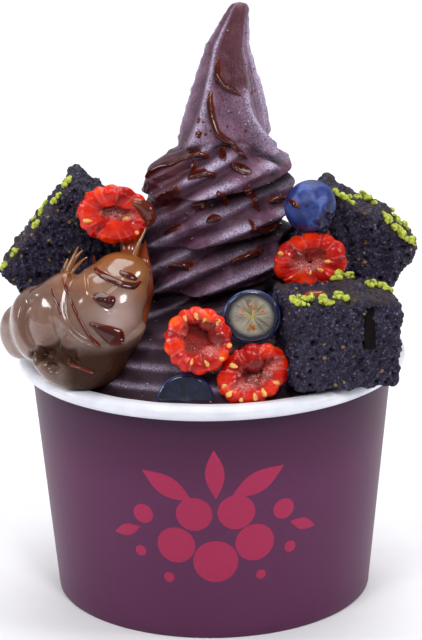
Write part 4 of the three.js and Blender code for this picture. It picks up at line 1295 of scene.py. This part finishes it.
def raspberry_piece(name, berry, surface):
    """Core and drupelets grown together by a voxel remesh, then placed."""
    width, height, _ = berry["size"]
    clear_selection()
    bpy.ops.mesh.primitive_ico_sphere_add(subdivisions=3, radius=1)
    drupelet = bpy.context.object
    move_points(drupelet, points_of(drupelet) * MM)
    fruit = join([raspberry_core(berry), copies(drupelet, drupelet_places(berry))])
    modify(fruit, "REMESH", mode="VOXEL", voxel_size=RASPBERRY_VOXEL * MM)
    modify(fruit, "SMOOTH", factor=0.5, iterations=2)
    points = points_of(fruit)
    a, b, c = points.T
    seed = berry["seed"]
    out = np.hypot(a / (width / 2), b / (height / 2))
    turn = np.arctan2(b / height, a / width) + 0.07 * clouds(points, 2.6, seed + 1)
    to_border, _, lot = cell_at(turn, berry)
    to_border = to_border * math.pi * (width + height) / 2 * out
    facing = smooth(-2.6, -1.2, c)
    hollow = hollow_depth(a, b, berry)
    lining = hollow * smooth(-5.6, -4, c)
    wall = lining * (1 - lining) * 4
    upper = smooth(-0.6, 1.6, b - berry["hollow"][1])
    felt = 0.6 - grains(points, 0.8, seed)[0]
    lines = clouds(np.stack([turn * 11, out * 1.5, c * 0.3], axis=1), 1, seed + 2)
    lift = 0.4 * felt * lining * (1 - 0.6 * upper) + 0.2 * lines * facing * smooth(0.3, 0.6, out)
    move_points(fruit, points + directions_out(fruit) * (lift + 0.1 * clouds(points, 1.4, seed))[:, None])
    membrane = bell(to_border, 0.24) * smooth(0.45, 0.62, out) * (1 - smooth(0.9, 0.98, out)) * facing
    striped = smooth(0.1, 0.7, lines) * wall
    paint(fruit, "pale", np.clip(0.65 * membrane + 0.6 * striped + 0.35 * lining, 0, 1))
    # Pale felt dots of the lining, real, but kept to its lower part where light falls: partly painted light.
    paint(fruit, "felt", np.clip(0.85 * lining * (1 - 0.8 * upper) - 0.25 * wall, 0, 1))
    # Painted shade: dark red in the hollow, darkest on its upper wall.
    paint(fruit, "deep", np.clip((0.3 + 0.6 * upper) * smooth(0.1, 0.7, hollow), 0, 1))
    glow = 0.2 + 0.36 * np.where(facing > 0.5, lot, 0.5) + 0.22 * clouds(points, 2.2, seed + 4) + 0.22 * out
    paint(fruit, "tone", np.clip(glow, 0, 1))
    place(fruit, cut_face(berry, CUT_FACE_FORWARD * berry["size"][2]))
    return finish_piece(fruit, name, [], [surface])


def cut_face(berry, forward):
    """Where the cut face of a halved berry lies; its +Z looks out of the cut."""
    return placing(**berry) @ Matrix.Translation((0, -forward, 0)) @ FACING


def seed_shape(turn, way):
    """A drop that lies along X, thicker at one end."""
    out = np.sin(np.pi * way) * (1 - 0.35 * np.cos(np.pi * way))
    return -np.cos(np.pi * way), out * np.cos(turn), out * np.sin(turn)


def pip_shape(turn, way):
    """A plain ball, which the pips' matrices flatten."""
    out = np.sin(np.pi * way)
    return out * np.cos(turn), out * np.sin(turn), -np.cos(np.pi * way)


class ACAI_BOWL_OT_raspberries(bpy.types.Operator):
    """Make the cut raspberries with their drupelets, hollows and seeds"""

    bl_idname = "acai_bowl.raspberries"
    bl_label = "Raspberries"

    def execute(self, context):
        colors = context.scene.acai_bowl_colors
        flesh = raspberry_flesh(colors)
        rng = random.Random(8)
        matrices = []
        for name, berry in RASPBERRIES.items():
            fruit = raspberry_piece(name.replace("raspberry", "fruit"), berry, flesh)
            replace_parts(fruit, name)
            surface = tree_of(fruit)
            face = cut_face(berry, CUT_FACE_FORWARD * berry["size"][2])
            inwards = face.to_3x3() @ Vector((0, 0, -1))
            for a, b in berry["seeds"]:
                hit = surface.ray_cast(face @ Vector((a, b, 9)) * MM, inwards)[0]
                size = rng.uniform(0.85, 1.2)
                spin = Matrix.Rotation(math.atan2(b, a) + rng.uniform(-0.5, 0.5), 4, "Z")
                at = face.inverted() @ (hit / MM)
                matrices.append(face @ Matrix.Translation(at - Vector((0, 0, 0.3))) @ spin
                                @ Matrix.Diagonal((1.15 * size, 0.66 * size, 0.6 * size, 1)))
        seed = ball(24, 16, seed_shape)
        finish_piece(copies(seed, matrices), "raspberry_seeds", [], [raspberry_seed()])
        return {"FINISHED"}


# ---- Blueberries ---------------------------------------------------------------------------------


def blueberry_skin(colors):
    # Blueberry skin: deep blue under a waxy whitish bloom that is rubbed off in places.
    made, tree, shader = material("waxy blueberry skin", Specular_IOR_Level=0.4)
    rubbed = noise(tree, 4, 4.0, Distortion=0.8)
    bloom = ramp(tree, rubbed, (0.32, "#131c45"), (0.5, colors.blueberry_color), (0.72, "#5468a8"))
    specks = remap(tree, cells(tree, 2.6)["Distance"], 0.17, 0.1, 0, 0.7)
    dotted = blend(tree, specks, bloom, "#0b0d22")
    crowned = blend(tree, attribute(tree, "crown"), dotted, "#241c2c")
    join_shader(tree, shader, Base_Color=crowned, Roughness=remap(tree, rubbed, 0, 1, 0.25, 0.62))
    return made


def cut_blueberry(name, flesh, middle, rim):
    # Cut blueberry: jelly-like green grey flesh with radial fibres, paler round the middle, and a
    # band of purple colour bled in from the skin. Wet and slightly clear.
    made, tree, shader = material(name, Roughness=0.16, Subsurface_Weight=0.4, Subsurface_Scale=1.0,
                                  Subsurface_Radius=(0.0012, 0.0012, 0.001), Coat_Weight=0.5,
                                  Coat_Roughness=0.06)
    on_face = attribute(tree, "face", "Vector")
    out = node(tree, "VectorMath", {"operation": "LENGTH", 0: on_face}).outputs["Value"]
    spoke = node(tree, "VectorMath", {"operation": "NORMALIZE", 0: on_face}).outputs["Vector"]
    fibres = node(tree, "TexNoise", {
        "noise_dimensions": "4D", "Scale": 2.6, "Detail": 3.0, "Roughness": 0.65,
        "Vector": spoke, "W": calculate(tree, "MULTIPLY", out, 0.4),
    }).outputs["Fac"]
    wavy = calculate(tree, "MULTIPLY_ADD", fibres, 0.36, out)
    spread = calculate(tree, "MULTIPLY", wavy, 0.8)
    zones = ramp(tree, spread, (0.14, middle), (0.36, flesh), (0.66, flesh), (0.79, rim))
    light = remap(tree, fibres, 0.35, 0.68, 0.4, 1.75)
    lit = node(tree, "VectorMath", {"operation": "SCALE", 0: zones, "Scale": light}).outputs["Vector"]
    join_shader(tree, shader, Base_Color=lit, Normal=bump(tree, fibres, 0.35, 0.25))
    return made


def blueberry_pip():
    # Blueberry pips and the dried core they sit on: rust brown.
    made, tree, shader = material("blueberry pip", Roughness=0.35)
    tone = ramp(tree, noise(tree, 0.6, 2.0), (0.35, "#7a3a10"), (0.65, "#c9822f"))
    join_shader(tree, shader, Base_Color=tone)
    return made


def whole_blueberry(berry):
    """A round berry, its crown a ragged five-lobed collar round a shallow pit."""
    radius = berry["radius"]
    kept = {}

    def shape(turn, way):
        polar = np.pi * (1 - way)
        out = radius * np.sin(polar)
        lobes = 1 + 0.22 * np.cos(5 * turn) + 0.06 * np.cos(11 * turn + berry["seed"])
        collar = bell(out - CROWN_RADIUS * lobes, 0.55)
        rise = np.where(way > 0.5, 0.85 * collar - 1.5 * bell(out, 1.9), 0)
        kept["crown"] = np.where(way > 0.5, np.clip(0.8 * collar + bell(out, 2.0), 0, 1), 0)
        wobble = 1 + 0.015 * np.cos(2 * turn + berry["seed"]) * np.sin(polar)
        return (out * wobble * np.cos(turn), out * wobble * np.sin(turn),
                BLUEBERRY_FLATTENING * radius * np.cos(polar) + rise)

    made = ball(128, 96, shape)
    paint(made, "crown", kept["crown"])
    up = Vector(berry["crown"]).normalized()
    turned = Vector((0, 0, 1)).rotation_difference(up).to_matrix().to_4x4()
    place(made, Matrix.Translation(berry["at"]) @ turned)
    return made


def half_blueberry(berry):
    """A round back and a cut face that swells a little, with fine radial creases."""
    radius = berry["radius"]
    kept = {}

    def shape(turn, way):
        back = way < 0.5
        out = np.where(back, np.sin(np.pi * way), 2 * (1 - way))
        kept["face"] = np.stack([out * np.cos(turn), out * np.sin(turn), 0 * out], axis=1)
        kept["back"] = back
        creases = 0.1 * np.sin(5 * turn) * bell(out - 0.4, 0.3)
        dome = 0.5 * (1 - out**2) + creases - 0.5 * bell(out - 1, 0.05)
        return (radius * out * np.cos(turn), BLUEBERRY_FLATTENING * radius * out * np.sin(turn),
                np.where(back, -radius * np.cos(np.pi * way) - 0.3, dome))

    made = ball(144, 96, shape)
    paint_places(made, "face", kept["face"])
    paint(made, "crown", 0 * kept["back"])
    front = ~kept["back"] & (np.hypot(*kept["face"][:, :2].T) < 0.965)
    for face in made.data.polygons:
        face.material_index = int(all(front[corner] for corner in face.vertices))
    place(made, cut_face(berry, radius * HALF_FACE_FORWARD))
    return made


class ACAI_BOWL_OT_blueberries(bpy.types.Operator):
    """Make the whole and the halved blueberries"""

    bl_idname = "acai_bowl.blueberries"
    bl_label = "Blueberries"

    def execute(self, context):
        colors = context.scene.acai_bowl_colors
        skin = blueberry_skin(colors)
        for name, berry in WHOLE_BLUEBERRIES.items():
            shown = name.replace("blueberry", "bluefruit")
            finish_piece(whole_blueberry(berry), shown, [name], [skin])
        green = cut_blueberry("cut green blueberry", "#8e887a", "#a69a48", "#1c1b2e")
        blue = cut_blueberry("cut ripe blueberry", "#1d2039", "#3f4150", "#141731")
        for name, berry in HALF_BLUEBERRIES.items():
            shown = name.replace("blueberry", "bluefruit")
            flesh = blue if berry["ripe"] else green
            finish_piece(half_blueberry(berry), shown, [name], [skin, flesh])
        self.pips()
        return {"FINISHED"}

    def pips(self):
        """Pips in pairs round the middle of the green half, and the brown star of its core."""
        berry = HALF_BLUEBERRIES["blueberry_half_center"]
        rng = random.Random(4)
        on_face = cut_face(berry, berry["radius"] * HALF_FACE_FORWARD)
        matrices = []
        for turn, out in ((100, 3.3), (52, 3.0), (20, 3.2), (165, 2.7), (140, 3.4), (265, 3.0), (80, 2.2)):
            angle = math.radians(turn)
            for _ in range(2):
                at = Vector((out * math.cos(angle) + rng.gauss(0, 0.25),
                             out * math.sin(angle) + rng.gauss(0, 0.25),
                             0.42))
                size = Matrix.Diagonal((rng.uniform(0.45, 0.8), rng.uniform(0.25, 0.4), 0.28, 1))
                matrices.append(on_face @ Matrix.Translation(at) @ Matrix.Rotation(angle, 4, "Z") @ size)
        for turn in (250, 285, 230, 305):
            angle = math.radians(turn)
            at = Vector((1.0 * math.cos(angle), 1.0 * math.sin(angle) - 2.0, 0.4))
            size = Matrix.Diagonal((1.3, 0.3, 0.22, 1))
            matrices.append(on_face @ Matrix.Translation(at) @ Matrix.Rotation(angle, 4, "Z") @ size)
        pip = ball(16, 10, pip_shape)
        finish_piece(copies(pip, matrices), "blueberry_pips", [], [blueberry_pip()])


# ---- Syrup ---------------------------------------------------------------------------------------

# Runs of syrup on the swirl. Each is a list of (angle, height, half width) that it flows through.
SWIRL_RUNS = (
    ((-29, 153.6, 0.5), (-29, 151.0, 0.7), (-25, 148, 0.8), (-21, 145.2, 0.85), (-13, 141.6, 0.9),
     (-3, 139.8, 1.1), (10, 138.2, 0.9), (19, 136.2, 0.8), (30, 134.0, 0.5)),
    ((-22, 163, 0.4), (-25, 160.5, 0.6), (-23, 157.4, 0.8), (-8, 154.6, 0.9), (12, 153.3, 0.8),
     (26, 151.8, 0.4)),
    ((-38, 142.0, 0.5), (-32, 141, 0.8)),
    ((-40, 146.0, 0.3), (-37, 144.8, 0.5)),
    ((-81, 126.5, 0.7), (-78, 129.2, 0.9), (-69, 131.7, 0.9), (-57, 133.0, 0.9), (-48, 135.0, 0.9),
     (-32, 136.2, 1.0), (-19, 134.8, 0.8)),
    ((-9, 136.5, 0.9), (2, 135.6, 0.8)),
    ((-37, 133.4, 0.6), (-30, 130.6, 0.8), (-18, 131.6, 1.0), (-6, 130.6, 0.8)),
    ((6, 133.3, 0.8), (17, 132.3, 1.1), (27, 131.9, 0.6)),
    ((-63, 119.8, 0.5), (-52, 123, 0.8), (-41, 126.1, 0.9), (-37, 127.7, 0.7)),
    ((-26, 121.8, 0.8), (-13, 121.9, 1.2)),
    ((-5, 126.9, 0.9), (1, 125.4, 1.1), (7, 122.1, 0.7)),
    ((18, 126.7, 0.7), (27, 125.4, 1.1), (31, 123.2, 0.9), (33, 121.5, 0.8), (37, 119.6, 0.7)),
    ((-11, 118.5, 0.8), (-5, 119.1, 1.1), (1, 119.1, 0.9)),
    ((24, 118.3, 0.5), (26, 114.8, 0.9), (41, 113.3, 0.8), (56, 113.7, 1.1), (78, 111.4, 0.6)),
    ((-44, 103.0, 0.7), (-38, 103.7, 0.8), (-24, 104.0, 1.1)),
    ((8, 105.5, 0.6), (14, 106.4, 0.9), (32, 107.2, 1.0), (43, 107.4, 0.6)),
    ((-52, 112.5, 0.5), (-42, 114.6, 0.8), (-33, 116, 0.5)),
    ((-20, 93.9, 0.6), (-14, 94.5, 0.7)),
    ((48, 121.5, 0.6), (60, 121.8, 0.9), (70, 121.0, 0.5)),
)
# Runs on the cream, laid on it from the front: (x, height, half width).
CREAM_RUNS = (
    ((-33.4, 102.6, 0.5), (-31, 101.8, 1.7), (-28.6, 100.8, 2.1), (-26.6, 101.6, 0.8)),
    ((-34.4, 95.4, 0.6), (-32.6, 94.6, 0.9), (-29.6, 92.6, 2.2), (-26.6, 90.8, 2.7), (-24.6, 89.0, 1.2)),
    ((-42.4, 107.0, 0.4), (-39.6, 101.5, 0.5), (-37.0, 96.2, 0.5), (-34.4, 91.6, 0.5),
     (-30.8, 88.4, 0.7)),
    ((-34, 108.2, 0.4), (-30, 106.8, 0.7), (-25, 104.8, 0.8), (-21.4, 103.4, 0.9), (-19.4, 104.2, 0.5)),
    ((-26.0, 107.6, 0.5), (-22.6, 106.2, 0.8), (-20.6, 104.8, 0.5)),
    ((-45.2, 103.6, 0.4), (-43.0, 100, 0.6), (-42.2, 97.2, 0.4)),
    ((-41, 84.0, 0.3), (-36, 82.4, 0.5), (-33, 80.6, 0.4)),
)
# Thicker syrup: down the right edge of the cream, behind its top, round the end of the left raspberry
# and on the front brownie. (x, y, z, half width).
SYRUP_STRANDS = (
    ((-18.6, -19.0, 112.5, 0.4), (-18.8, -20.5, 109.5, 1.0), (-18.9, -22.0, 106.5, 1.7),
     (-18.1, -22.5, 102.5, 1.6), (-18.3, -24.0, 98.5, 1.9), (-18.9, -25.5, 94.0, 1.5),
     (-20.6, -28.0, 89.0, 1.6),
     (-22.6, -30.5, 84.0, 1.1), (-25.0, -32.5, 79.5, 0.6)),
    ((-24.0, -15.0, 117.5, 1.6), (-23.4, -16.0, 113.0, 2.8), (-22.6, -18.5, 108.5, 3.2),
     (-22.0, -22.0, 104.0, 2.0)),
    ((-22.5, -22.4, 125.0, 0.8), (-20.0, -22.2, 124.0, 1.7), (-18.0, -21.4, 122.0, 2.5),
     (-17.4, -21.0, 119.4, 2.3),
     (-18.2, -21.6, 116.8, 1.1)),
    ((25.4, -38.0, 100.2, 0.7), (28.0, -37.0, 100.5, 1.5), (31.0, -37.0, 100.4, 1.7),
     (34.0, -36.5, 100.2, 0.8)),
)
BERRY_DROP = ((22.6, 124.6, 0.5), (24.2, 123.6, 1.1), (26.0, 123.0, 0.5))  # on the whole blueberry
BEAD_COUNT = 90
SYRUP_HEIGHT = 1.8
SYRUP_SPREAD = 1.25  # of the half widths given for the runs on the swirl


def dark_syrup(colors):
    # Thick dark syrup: red brown where it is deep, amber at its thin edges, with mirror-like
    # highlights.
    made, tree, shader = material("dark syrup", Roughness=0.06, Specular_IOR_Level=0.4,
                                  Coat_Weight=0.15, Coat_Roughness=0.02)
    thick = attribute(tree, "thick")
    tone = ramp(tree, thick, (0.0, "#8a3a16"), (0.3, "#5a1c0a"), (0.9, colors.syrup_color))
    join_shader(tree, shader, Base_Color=tone)
    return made


def tree_of(piece):
    piece.data.calc_loop_triangles()
    corners = [corner.co for corner in piece.data.vertices]
    faces = [tuple(triangle.vertices) for triangle in piece.data.loop_triangles]
    return BVHTree.FromPolygons(corners, faces)


def round_swirl(stop):
    """Outwards and sideways at a stop (angle, height, half width), and a place outside the swirl."""
    angle, z, _ = stop
    turn = math.radians(angle)
    out = Vector((math.sin(turn), -math.cos(turn), 0))
    axis = Vector((float(steps(AXIS_SHIFT, z)), 0, z))
    return out, Vector((math.cos(turn), math.sin(turn), 0)), axis + 45 * out


def before_cream(stop):
    """The same for a stop (x, height, half width) in front of the cream."""
    x, z, _ = stop
    return Vector((0, -1, 0)), Vector((1, 0, 0)), Vector((x, -70, z))


def run_of_syrup(surface, stops, outside, height):
    """A long drop laid on a surface: rays find the surface under it, its top is domed above that
    and its foot is buried a little."""
    path = along_run(stops, 16 * len(stops))
    if outside is round_swirl:
        path[:, 2] = np.maximum(SYRUP_SPREAD * path[:, 2], 0.6)
    places = [outside(stop) for stop in path]
    thick = []

    def shape(turn, way):
        reach = np.sqrt(np.clip(1 - np.abs(2 * way - 1) ** 6, 0, 1))
        across, up = reach * np.cos(turn), reach * np.sin(turn)
        points = []
        for at, side, rise in zip(way * (len(path) - 1), across, up):
            index = min(int(at), len(path) - 2)
            part = float(at) - index
            out, sideways, start = places[index]
            next_start = places[index + 1][2]
            heading = next_start - start
            half = path[index][2] * (1 - part) + path[index + 1][2] * part
            beside = out.cross(heading)
            beside = beside.normalized() if beside.length > 1e-6 else sideways
            start = start + heading * part + beside * float(side) * float(half)
            hit = surface.ray_cast(start * MM, -out)[0]
            base = hit / MM if hit is not None else start - out * 50
            lift = height * min(1.0, half) * float(rise) if rise > 0 else 0.4 * float(rise)
            points.append(base + out * lift)
            thick.append(max(0.0, float(rise)) * min(1.0, half))
        return np.array(points).T

    made = ball(16, 12 * len(stops), shape)
    paint(made, "thick", thick)
    modify(made, "SMOOTH", factor=0.5, iterations=4)
    return made


def syrup_beads(surface):
    """Small beads spattered over the front of the swirl."""
    rng = random.Random(12)
    clear_selection()
    bpy.ops.mesh.primitive_ico_sphere_add(subdivisions=2, radius=1)
    bead = bpy.context.object
    move_points(bead, points_of(bead) * MM)
    matrices = []
    while len(matrices) < BEAD_COUNT:
        start = Vector((rng.gauss(4, 20), -90, rng.uniform(84, 172)))
        hit, normal, _, _ = surface.ray_cast(start * MM, (0, 1, 0))
        if hit is None:
            continue
        size = 0.22 + 0.4 * rng.random() ** 3
        turned = Vector((0, 0, 1)).rotation_difference(normal).to_matrix().to_4x4()
        stretch = Matrix.Diagonal((size, size * rng.uniform(1, 1.5), 0.6 * size, 1))
        matrices.append(Matrix.Translation(hit / MM) @ turned @ stretch)
    beads = copies(bead, matrices)
    paint(beads, "thick", [0.3] * len(beads.data.vertices))
    return beads


class ACAI_BOWL_OT_syrup(bpy.types.Operator):
    """Pour the syrup: runs and beads on the swirl and the cream"""

    bl_idname = "acai_bowl.syrup"
    bl_label = "Syrup"

    def execute(self, context):
        colors = context.scene.acai_bowl_colors
        swirl = tree_of(bpy.data.objects["frozen_swirl"])
        cream = tree_of(bpy.data.objects["cream_dollop"])
        runs = [run_of_syrup(swirl, stops, round_swirl, SYRUP_HEIGHT) for stops in SWIRL_RUNS]
        runs += [run_of_syrup(cream, stops, before_cream, 0.7 * SYRUP_HEIGHT) for stops in CREAM_RUNS]
        berry = tree_of(bpy.data.objects["bluefruit_whole"])
        runs.append(run_of_syrup(berry, BERRY_DROP, before_cream, 0.5 * SYRUP_HEIGHT))
        for stops in SYRUP_STRANDS:
            hanging = strand(stops)
            paint(hanging, "thick", np.clip(0.16 + 0.5 * clouds(points_of(hanging), 5, 19), 0, 1))
            runs.append(hanging)
        syrup = dark_syrup(colors)
        finish_piece(syrup_beads(swirl), "syrup_beads", [], [syrup])
        finish_piece(join(runs), "syrup_runs", [], [syrup])
        return {"FINISHED"}


# ---- Stage ---------------------------------------------------------------------------------------

CAMERA_AWAY = 0.848  # metres in front of the bowl's axis
CAMERA_UP = 0.354
CAMERA_PITCH = 0.3105  # radians below the horizon
CAMERA_ROLL = 0.0128
FOCAL_PIXELS = 3007
PHOTO_HEIGHT = 640
SENSOR = 36.0


def studio_floor(stage):
    # Matt painted studio board: pale and even, with a barely visible grain.
    made, tree, shader = material("matt studio board", Roughness=0.85)
    tone = blend(tree, noise(tree, 12, 2.0), stage.floor_color, "#eeeef1")
    join_shader(tree, shader, Base_Color=tone)
    return made


class ACAI_BOWL_OT_studio(bpy.types.Operator):
    """Set the studio: pale floor, soft lights and the camera"""

    bl_idname = "acai_bowl.studio"
    bl_label = "Studio"

    def execute(self, context):
        stage = context.scene.acai_bowl_stage
        clear_selection()
        bpy.ops.mesh.primitive_plane_add(size=8, location=(0, 1.5, 0))
        floor = bpy.context.object
        floor.name = "studio_floor"
        floor.data.materials.append(studio_floor(stage))
        self.light("key", (-0.45, -0.75, 0.95), (0, 0, 0.1), 0.36, stage.key_power)
        self.light("left side", (-0.95, 0.0, 0.45), (0, 0, 0.1), 0.3, stage.fill_power)
        self.light("right side", (0.9, -0.25, 0.55), (0, 0, 0.1), 0.3, stage.fill_power)
        self.light("top", (0.1, 0.25, 1.2), (0, 0, 0.1), 0.8, 2.2 * stage.fill_power)
        self.light("backdrop", (0, 0.85, 0.75), (0, 0.8, 0), 0.9, 3.4)
        self.light("glint", (0.2, -0.7, 0.8), (0, 0, 0.12), 0.2, 0.9 * stage.fill_power)
        world = bpy.data.worlds.new("studio air")
        context.scene.world = world
        world.use_nodes = True
        background = world.node_tree.nodes["Background"]
        background.inputs["Color"].default_value = linear("#f3f4f8")
        background.inputs["Strength"].default_value = 0.36
        context.scene.view_settings.view_transform = "Standard"
        self.camera(context)
        return {"FINISHED"}

    def light(self, name, at, towards, size, power):
        clear_selection()
        bpy.ops.object.light_add(type="AREA", location=at)
        lamp = bpy.context.object
        lamp.name = name + " light"
        lamp.data.shape = "DISK"
        lamp.data.size = size
        lamp.data.energy = power
        lamp.rotation_euler = (Vector(at) - Vector(towards)).to_track_quat("Z", "Y").to_euler()

    def camera(self, context):
        bpy.ops.object.camera_add()
        camera = bpy.context.object
        away = Matrix.Translation((0, -CAMERA_AWAY, CAMERA_UP))
        pitch = Matrix.Rotation(math.pi / 2 - CAMERA_PITCH, 4, "X")
        camera.matrix_world = away @ pitch @ Matrix.Rotation(-CAMERA_ROLL, 4, "Z")
        camera.data.sensor_width = SENSOR
        camera.data.lens = FOCAL_PIXELS / PHOTO_HEIGHT * SENSOR
        context.scene.camera = camera


# ---- Panel and running ---------------------------------------------------------------------------


class ACAI_BOWL_PT_sidebar(bpy.types.Panel):
    """Lists the steps that make the bowl, and its sizes and colours"""

    bl_idname = "ACAI_BOWL_PT_sidebar"
    bl_label = "Acai Bowl"
    bl_space_type = "VIEW_3D"
    bl_region_type = "UI"
    bl_category = "Acai Bowl"

    def draw(self, context):
        for step in STEPS:
            self.layout.operator(step.bl_idname)
        for settings in ("acai_bowl_sizes", "acai_bowl_colors", "acai_bowl_stage"):
            group = getattr(context.scene, settings)
            box = self.layout.box()
            for name in group.bl_rna.properties.keys():
                if name not in ("rna_type", "name"):
                    box.prop(group, name)


STEPS = (
    ACAI_BOWL_OT_studio,
    ACAI_BOWL_OT_paper_bowl,
    ACAI_BOWL_OT_swirl,
    ACAI_BOWL_OT_cream,
    ACAI_BOWL_OT_brownies,
    ACAI_BOWL_OT_raspberries,
    ACAI_BOWL_OT_blueberries,
    ACAI_BOWL_OT_syrup,
)
CLASSES = (AcaiBowlSizes, AcaiBowlColors, AcaiBowlStage, *STEPS, ACAI_BOWL_PT_sidebar)


def register():
    for made in CLASSES:
        bpy.utils.register_class(made)
    bpy.types.Scene.acai_bowl_sizes = bpy.props.PointerProperty(type=AcaiBowlSizes)
    bpy.types.Scene.acai_bowl_colors = bpy.props.PointerProperty(type=AcaiBowlColors)
    bpy.types.Scene.acai_bowl_stage = bpy.props.PointerProperty(type=AcaiBowlStage)


def unregister():
    del bpy.types.Scene.acai_bowl_stage
    del bpy.types.Scene.acai_bowl_colors
    del bpy.types.Scene.acai_bowl_sizes
    for made in reversed(CLASSES):
        bpy.utils.unregister_class(made)


def main():
    register()
    for step in STEPS:
        group, name = step.bl_idname.split(".")
        getattr(getattr(bpy.ops, group), name)()


if __name__ == "__main__":
    main()
